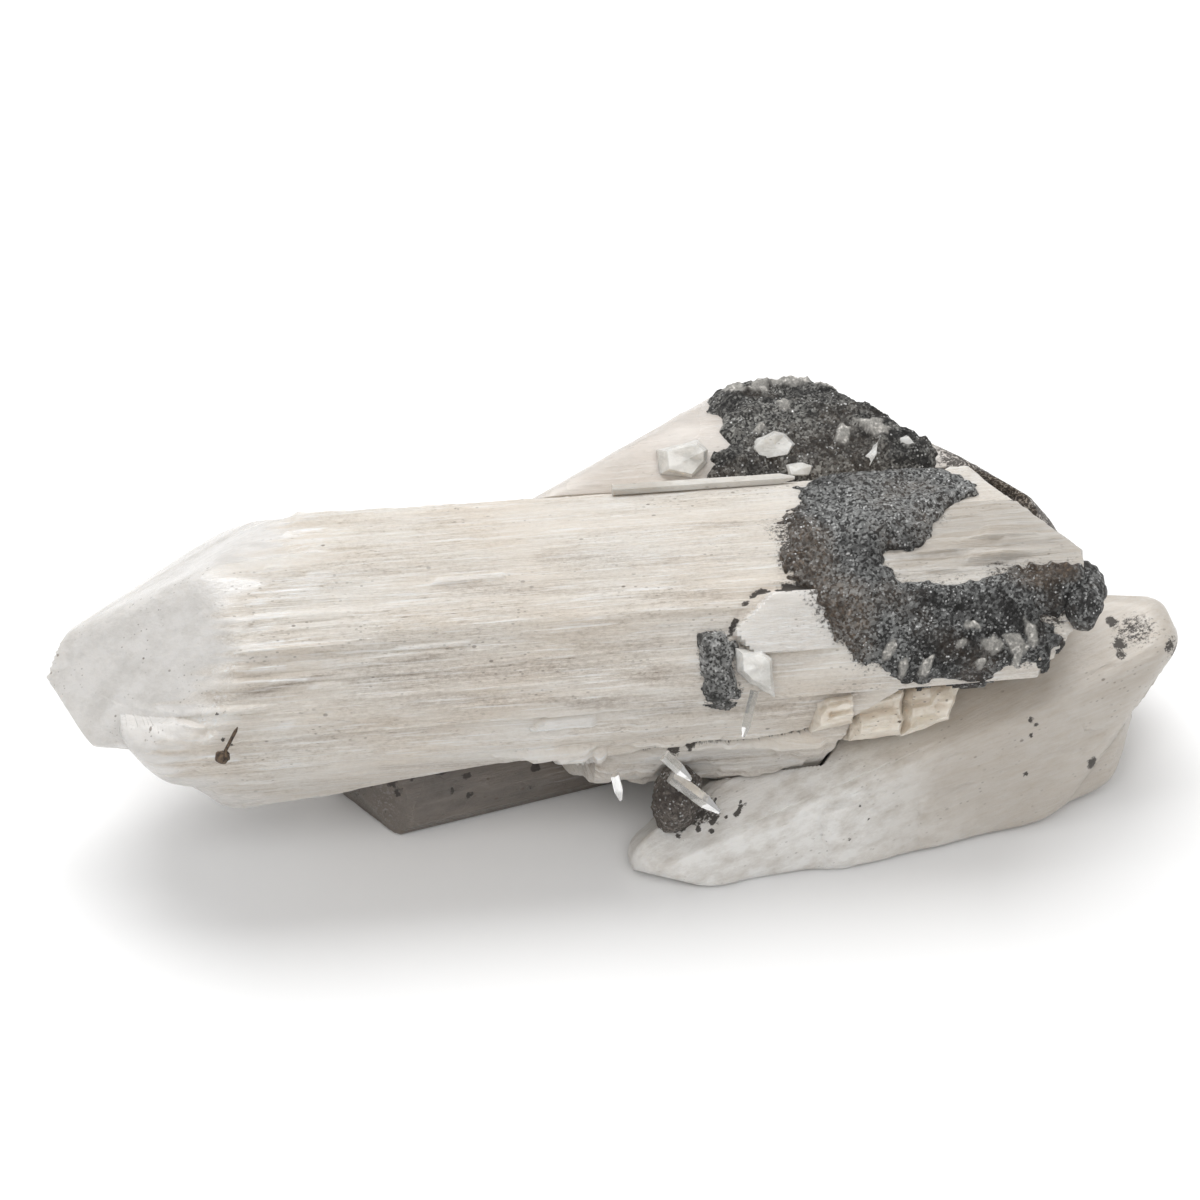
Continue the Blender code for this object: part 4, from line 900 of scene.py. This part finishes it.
# Tones of the front rock: (tone, along, across, half length, half width, share)
ROCK_TONES = [("grey", 37.0, 13.5, 10.0, 5.0, 0.75), ("grey", 44.5, 16.0, 6.0, 3.0, 0.75),
              ("grey", 33.0, 0.5, 6.0, 5.5, 0.6), ("grey", 44.0, 4.2, 8.0, 1.8, 0.6),
              ("grey", 29.0, 8.0, 5.0, 5.0, 0.35), ("rust", 25.0, 7.0, 4.0, 7.0, 0.85),
              ("rust", 28.0, 0.0, 5.0, 5.0, 0.9), ("rust", 55.5, 4.1, 4.0, 2.2, 0.9),
              ("rust", 30.0, -3.0, 3.0, 3.0, 0.6)]
front_rock = rock_skin("front rock", dark=(0.018, 0.017, 0.016), middle=(0.25, 0.255, 0.25),
                       light=(0.64, 0.645, 0.635), brown=(0.30, 0.21, 0.14), sparkle=0.16)
crust = crust_sheet("front_matrix_skin", MAIN, [MAIN_RODS[0]], CRUST_SLOPE, FRONT_CRUST, spacing=0.20,
                    rise=1.7, seed=51, pebbles=PEBBLES, zones=ROCK_TONES, thin_end=True)
wear(crust, front_rock, "rock", "front_matrix")


def lump(name, centre, reach, seed, rows=60, around=110, rough=(0.22, 0.10, 0.05)):
    """Rough lump: centre + reach (1 + noises) ray, with a ray for each latitude and longitude."""
    latitude = np.linspace(-90.0, 90.0, rows)[:, None]
    longitude = np.arange(around)[None, :] * 360.0 / around
    rays = directions(np.eye(3), longitude, latitude)
    size = np.array(reach)
    swell = sum(share * noise(rays * size, size.mean() * scale, seed + step)
                for step, (share, scale) in enumerate(zip(rough, (0.9, 0.4, 0.16))))
    points = np.array(centre) + rays * size * (1.0 + swell)[..., None]
    return points, lattice(name, points, 50.0)


def at(crystal, along, across, toward, slope=SLOPE):
    """Place on a slope round a crystal: along it, up across it, and out from it."""
    origin, axes = crystal
    spot = origin + along * axes[0] + across * directions(axes, slope + 90.0, 0.0)
    return spot + toward * directions(axes, slope, 0.0)


KNOB_PLACE = (60.3, 1.0, 15.6)
KNOB_REACH = (3.2, 5.2, 3.6)
knob_points, knob = lump("front_matrix_knob", at(MAIN, *KNOB_PLACE), KNOB_REACH, seed=61)
paint(knob, place=(lattice_order(knob_points) - MAIN[0]) @ MAIN[1].T,
      pale=np.zeros(len(knob.data.vertices)))
wear(knob, front_rock, "rock", "front_matrix")


# Back rock. A crust of black and grey rock with white patches on the top of the back crystal.

BACK_SLOPE = 85.0
BACK_CRUST = [(-3.6, 10.6), (-4.8, 5.4), (-2.9, 2.9), (-3.8, 0.4), (-2.6, -2.2), (-5.4, -2.8), (-6.4, -7.6),
              (-1.6, -8.6), (5.9, -9.2), (12.7, -9.3), (19.6, -9.4), (25.2, -8.4), (24.8, -4.6),
              (21.4, -1.2), (18.6, 3.0), (15.8, 7.2), (15.4, 11.4), (11.0, 14.6), (4.6, 15.4), (-1.0, 14.2)]
BACK_PEBBLES = [(-0.6, 10.8, 2.2, 0.8), (3.8, 10.9, 2.4, 0.9), (9.0, 12.2, 3.6, 0.9), (13.6, 9.4, 2.2, 0.6),
                (16.4, -2.0, 2.4, 0.7), (5.4, 3.4, 1.3, 0.6), (12.8, -3.2, 1.6, 0.6), (1.2, -1.2, 1.0, 0.5)]
BACK_TONES = [("grey", 16.0, 3.0, 7.0, 4.0, 0.7), ("grey", 8.0, 6.0, 5.0, 3.0, 0.35),
              ("grey", 3.0, 15.0, 9.0, 2.5, 0.5), ("rust", 8.0, 10.0, 9.0, 4.0, 0.35)]
back_rock = rock_skin("back rock", dark=(0.014, 0.013, 0.012), middle=(0.22, 0.215, 0.20),
                      light=(0.66, 0.65, 0.61), brown=(0.28, 0.21, 0.15), shift=30.0)
rear_crust = crust_sheet("back_matrix_skin", BACK, [BACK_RODS[0]], BACK_SLOPE, BACK_CRUST, spacing=0.26,
                         rise=1.8, seed=52, pebbles=BACK_PEBBLES, zones=BACK_TONES)
wear(rear_crust, back_rock, "rock", "back_matrix")


# Pocket druse. A small hollow in the main crystal's face, filled with grey crystals and dark rock.

druse_rock = rock_skin("pocket rock", dark=(0.06, 0.06, 0.056), middle=(0.46, 0.46, 0.45),
                       light=(0.70, 0.70, 0.68), brown=(0.16, 0.13, 0.10), browning=0.2, sparkle=0.25,
                       shift=60.0)
druse = crust_sheet("pocket_druse_skin", MAIN, [MAIN_RODS[0]], SLOPE, POCKET, spacing=0.15, rise=1.5,
                    seed=53, ragged=0.5, grain=1.0, zones=[("grey", 12.8, -4.4, 2.6, 3.4, 0.9)])
wear(druse, druse_rock, "rock", "pocket_druse")


# White blocks. Blunt danburite crystals: one beside the pocket, five in the rock on the back crystal.

def loft(rings, rows, across):
    """Rings of corners joined by straight lines: rows steps between rings and across steps between corners,
    closed at both ends by the ring's middle."""
    rings = np.array(rings)
    middles = rings.mean(axis=1, keepdims=True)
    count = rings.shape[1]
    place = np.arange(count * across) / across
    first = place.astype(int)
    part = (place - first)[None, :, None]
    dense = rings[:, first % count] * (1.0 - part) + rings[:, (first + 1) % count] * part
    ends = [np.repeat(middle, dense.shape[1], axis=0) for middle in (middles[0], middles[-1])]
    stack = [ends[0], *dense, ends[1]]
    result = []
    for lower, upper in zip(stack[:-1], stack[1:]):
        result += [lower + (upper - lower) * step / rows for step in range(rows)]
    return np.array(result + [stack[-1]])


BLOCK_TOP_SHARE = 0.72
BLOCK_SHOULDER = 0.75
BLOCK_TILT = 0.35
LATH_LEAN = 0.12
LATH_CAP = 1.8
LATH_SINK = 1.1


def block(name, crystal, outline, low, high, seed, rows=9, across=9, laths=0):
    """Blunt crystal: its outline at the foot and the shoulder, drawn in at the top, with
    slightly uneven faces. With laths, its top is broken into random strips along the crystal
    that it sits on."""
    corners = np.array(outline)
    middle = corners.mean(0)
    tilt = BLOCK_TILT * (np.arange(len(corners)) % 3 - 1)
    level = np.zeros(len(corners))
    rings = []
    for share, toward in ((1.0, low + level), (1.0, low + BLOCK_SHOULDER * (high - low) + level),
                          (BLOCK_TOP_SHARE, high + tilt)):
        spots = middle + (corners - middle) * share
        rings.append([at(crystal, *spot, height) for spot, height in zip(spots, toward)])
    if np.cross(corners[1] - corners[0], corners[2] - corners[1]) < 0.0:
        rings = [ring[::-1] for ring in rings]
    points = loft(rings, rows, across)
    middle_point = points.reshape(-1, 3).mean(0)
    away = points - middle_point
    size = np.linalg.norm(away, axis=-1, keepdims=True)
    bend = 0.14 * noise(points, 1.6, seed) + 0.06 * noise(points, 0.6, seed + 1)
    points = points + away / np.maximum(size, 0.1) * (bend - 0.08)[..., None]
    if laths:
        local = (points - crystal[0]) @ crystal[1].T
        run = local[..., 0]
        beside = across_of(local)
        toward = local[..., 1] * np.cos(np.radians(SLOPE)) + local[..., 2] * np.sin(np.radians(SLOPE))
        draw = np.random.default_rng(seed)
        low_corner, high_corner = corners.min(0), corners.max(0)
        strips = lay_strips(draw, laths, (low_corner[0], high_corner[0]), (low_corner[1], high_corner[1]),
                            (2.0, 7.0), (0.25, 0.9), (0.15, 0.7))
        strips[:, 2] -= LATH_LEAN * middle[0]
        rising = strip_relief(run, beside - LATH_LEAN * run, strips, 0.4)
        rising = np.clip(rising, 0.0, LATH_CAP) - LATH_SINK + 0.35 * noise(local, 1.6, seed + 2)
        lifted = step_up(toward - low - 0.55 * (high - low), 3.0) * rising
        points = points + lifted[..., None] * directions(crystal[1], SLOPE, 0.0)
    thing = lattice(name, points, 28.0)
    local = lattice_order(points) - crystal[0]
    paint(thing, place=local @ crystal[1].T, silk=np.full(len(local), 0.15), dirt=np.zeros(len(local)))
    return thing


PALE_BLOCK = [(15.0, -2.6), (18.3, -3.1), (19.6, -4.3), (19.6, -9.2), (16.4, -7.2), (14.9, -5.6)]
PALE_BLOCK_RISE = (14.0, 21.2)
BACK_BLOCKS = [([(-13.0, 12.0), (-7.4, 12.9), (-6.1, 11.5), (-6.3, 9.8), (-8.7, 7.4), (-13.0, 8.6)],
                11.0, 18.4),
               ([(-0.8, 11.1), (0.7, 12.6), (3.2, 13.4), (4.9, 13.0), (6.3, 11.3), (5.2, 9.4), (0.2, 9.0)],
                10.0, 17.6),
               ([(3.7, 8.7), (6.4, 9.0), (8.1, 8.2), (7.5, 6.7), (4.0, 6.9)], 12.0, 18.9),
               ([(12.8, 7.6), (17.2, 11.0), (16.9, 9.4), (15.4, 6.9)], 12.0, 18.6),
               ([(19.2, 11.4), (21.6, 11.6), (22.8, 9.8), (19.6, 9.0)], 10.0, 17.4)]
white_skin = milky_skin("white danburite", tip=(0.76, 0.75, 0.72), pale=(0.74, 0.72, 0.68),
                        warm=(0.70, 0.66, 0.60), shade=(0.44, 0.43, 0.40), streaks=0.4, specks=1.0,
                        smooth=0.2, veining=(0.45, 0.6, 0.6), shift=160.0)
wear(block("pale_block_skin", MAIN, PALE_BLOCK, *PALE_BLOCK_RISE, seed=71), white_skin, "white_danburite",
     "pale_block")
for number, (outline, low, high) in enumerate(BACK_BLOCKS, start=1):
    piece = block("back_block_%d_skin" % number, BACK, outline, low, high, 72 + number)
    wear(piece, white_skin, "white_danburite", "back_block_%d" % number)


# Cream blocks. Broken cream crystals that fill the corner between the main and the front crystal.

CREAM_BLOCKS = [([(24.6, -8.6), (30.8, -8.8), (30.5, -13.6), (25.0, -14.4)], 3.0, 16.4),
                ([(30.6, -9.0), (37.9, -9.4), (37.1, -15.8), (30.2, -16.0)], 3.0, 13.8),
                ([(37.8, -9.0), (45.8, -9.0), (43.6, -14.4), (37.1, -16.0)], 3.0, 12.6)]
cream_skin = milky_skin("cream danburite", tip=(0.82, 0.76, 0.67), pale=(0.80, 0.72, 0.60),
                        warm=(0.74, 0.63, 0.50), shade=(0.60, 0.51, 0.41), streaks=0.9, specks=1.4,
                        smooth=0.35, veining=(0.35, 0.6, 0.6), shift=200.0)
for number, (outline, low, high) in enumerate(CREAM_BLOCKS, start=1):
    piece = block("cream_block_%d_skin" % number, MAIN, outline, low, high, 82 + number, rows=14,
                  across=16, laths=16)
    wear(piece, cream_skin, "danburite", "cream_block_%d" % number)


# Clear crystals. Thin danburite prisms: a milky one along the top edge, and glassy ones, one below the
# white block and three that hang in the gap under the main crystal.

NEEDLE_SIDES = 6
NEEDLE_POINT_SHARE = 0.3
NEEDLE_POINT_LENGTH = 1.1
NEEDLE_FLATNESS = 0.8


def needle(name, start, end, width, seed, grey=0.0):
    """Six-sided prism: rings of radius width / 2 at the root and the shoulder, and a small ring at the point.
    It is shaded by the grey share at the root, and less further on."""
    axis = (end - start) / np.linalg.norm(end - start)
    side = np.cross(axis, (0.0, 0.0, 1.0))
    side = side / np.linalg.norm(side)
    other = np.cross(axis, side)
    turn = np.radians(360.0 * (np.arange(NEEDLE_SIDES) + 0.3) / NEEDLE_SIDES)[:, None]
    shape = np.cos(turn) * side + NEEDLE_FLATNESS * np.sin(turn) * other
    shoulder = end - axis * width * NEEDLE_POINT_LENGTH
    rings = [start + 0.5 * width * shape, shoulder + 0.5 * width * shape,
             end + 0.5 * width * NEEDLE_POINT_SHARE * shape]
    points = loft(rings, 8, 5)
    points = points + 0.04 * noise(points, 0.8, seed)[..., None] * side
    thing = lattice(name, points, 25.0)
    place = lattice_order(points)
    shade = grey * (1.0 - 0.6 * step_up((place - start) @ axis - 7.0, 2.0))
    paint(thing, place=place, silk=np.full(len(place), 0.5), shade=shade)
    return thing


def clear_skin(name, tint, cloudy, through):
    """Glassy danburite: lets light through, with faint white veils inside."""
    material, tree, shader = new_material(name)
    place = attribute(tree, "place").outputs["Vector"]
    veil = band(tree, cloud(tree, place, (0.8, 0.8, 0.8), 5.0, 0.65), 0.44, 0.66)
    feed(tree, shader, {"Base Color": blend(tree, veil, tint, cloudy), "Roughness": 0.09,
                        "IOR": DANBURITE_IOR, "Transmission Weight": through})
    return material


# Hanging crystals: (root, point, width)
HANGING = [(placed(1.9, 2.6, 17.2), placed(2.7, 2.0, 13.4), 1.4),
           (at(MAIN, 5.6, -15.6, 14.9), at(MAIN, 8.8, -19.0, 14.4), 1.9),
           (placed(9.2, 4.2, 15.6), placed(15.4, 2.8, 10.6), 2.4)]
glass = clear_skin("clear danburite", (0.74, 0.73, 0.70), (0.60, 0.59, 0.56), 0.75)
edge_prism = needle("edge_prism_skin", at(MAIN, 2.8, 18.8, 2.3), at(MAIN, 27.0, 18.7, 2.3), width=1.8,
                    seed=91, grey=0.8)
wear(edge_prism, white_skin, "clear_danburite", "edge_prism")
clear_prism = needle("clear_prism_skin", at(MAIN, 17.0, -8.2, 19.6), at(MAIN, 15.3, -13.9, 18.5), width=1.25,
                     seed=92)
wear(clear_prism, glass, "clear_danburite", "clear_prism")
for number, (root, point, width) in enumerate(HANGING, start=1):
    piece = needle("hanging_crystal_%d_skin" % number, root, point, width, seed=92 + number)
    wear(piece, glass, "clear_danburite", "hanging_crystal_%d" % number)


# Hanging mass. A brown grey cluster of small crystals in the same gap.

MASS_REACH = (3.3, 3.2, 5.0)
mass_points, mass = lump("hanging_mass_skin", placed(9.8, 6.4, 9.4), MASS_REACH, seed=5, rows=50, around=90)
paint(mass, place=lattice_order(mass_points), pale=np.zeros(len(mass.data.vertices)))
brown_druse = rock_skin("brown druse", dark=(0.10, 0.085, 0.075), middle=(0.27, 0.235, 0.205),
                        light=(0.44, 0.40, 0.36), brown=(0.18, 0.125, 0.09), sparkle=0.2, shift=90.0)
wear(mass, brown_druse, "rock", "hanging_mass")


# Seed. A dry brown button with its stalk, stuck on the lower left of the main crystal.

SEED_REACH = (0.95, 0.76, 0.86)
SEED_SPOT = at(MAIN, -49.6, -11.2, 18.3)
STALK_TIP = at(MAIN, -47.4, -7.6, 20.6)
STALK_WIDTH = 0.55
seed_points, seed = lump("seed_skin", SEED_SPOT, SEED_REACH, seed=7, rows=30, around=50)
paint(seed, place=lattice_order(seed_points))
material, tree, shader = new_material("dry seed")
place = attribute(tree, "place").outputs["Vector"]
husk = blend(tree, band(tree, cloud(tree, place, (2.5, 2.5, 2.5), 4.0, 0.6), 0.4, 0.65),
             (0.035, 0.025, 0.018), (0.16, 0.11, 0.07))
feed(tree, shader, {"Base Color": husk, "Roughness": 0.8})
wear(seed, material, "seed", "seed")
stalk = needle("seed_stalk_skin", SEED_SPOT, STALK_TIP, STALK_WIDTH, seed=8)
wear(stalk, material, "seed", "seed")


# Floor, lights and camera: a white surface under two wide soft lights, a strong one from
# above and behind and a weaker one from above and in front.

bpy.ops.mesh.primitive_plane_add(size=4.0, location=(0.0, 0.0, -0.0002))
floor = bpy.context.object
floor.name = "floor"
material, tree, shader = new_material("white paper")
feed(tree, shader, {"Base Color": (0.92, 0.92, 0.92), "Roughness": 0.9, "Specular IOR Level": 0.1})
floor.data.materials.append(material)

world = bpy.data.worlds.new("studio")
bpy.context.scene.world = world
world.use_nodes = True
feed(world.node_tree, world.node_tree.nodes["Background"], {"Color": (1.0, 1.0, 1.0), "Strength": 0.40})

# Soft boxes: (name, place, turn about X and Y, width, depth, power)
SOFT_BOXES = [("soft box above", (-0.10, 0.36, 0.82), (-23.7, -6.4), 0.9, 0.6, 7.4),
              ("soft box in front", (0.05, -0.62, 0.80), (37.8, 0.0), 1.0, 0.6, 3.5)]
for name, place, turn, width, depth, power in SOFT_BOXES:
    lamp = bpy.data.lights.new(name, "AREA")
    lamp.shape = "RECTANGLE"
    lamp.size = width
    lamp.size_y = depth
    lamp.energy = power
    soft_box = bpy.data.objects.new(name, lamp)
    soft_box.location = place
    soft_box.rotation_euler = (np.radians(turn[0]), np.radians(turn[1]), 0.0)
    bpy.context.scene.collection.objects.link(soft_box)

PIXELS_PER_MM = 7.6
PHOTO_WIDTH = 1200.0
LENS = 85.0
SENSOR = 36.0
TARGET = placed(0.0, 25.0, 28.0)
distance = PHOTO_WIDTH * LENS / SENSOR / PIXELS_PER_MM
camera_data = bpy.data.cameras.new("camera")
camera_data.lens = LENS
camera_data.sensor_width = SENSOR
camera = bpy.data.objects.new("camera", camera_data)
elevation = np.radians(SLOPE)
camera.location = (TARGET - distance * np.array([0.0, np.cos(elevation), -np.sin(elevation)])) * MM
camera.rotation_euler = (np.radians(90.0 - SLOPE), 0.0, 0.0)
bpy.context.scene.collection.objects.link(camera)
bpy.context.scene.camera = camera
bpy.context.scene.view_settings.view_transform = "Standard"
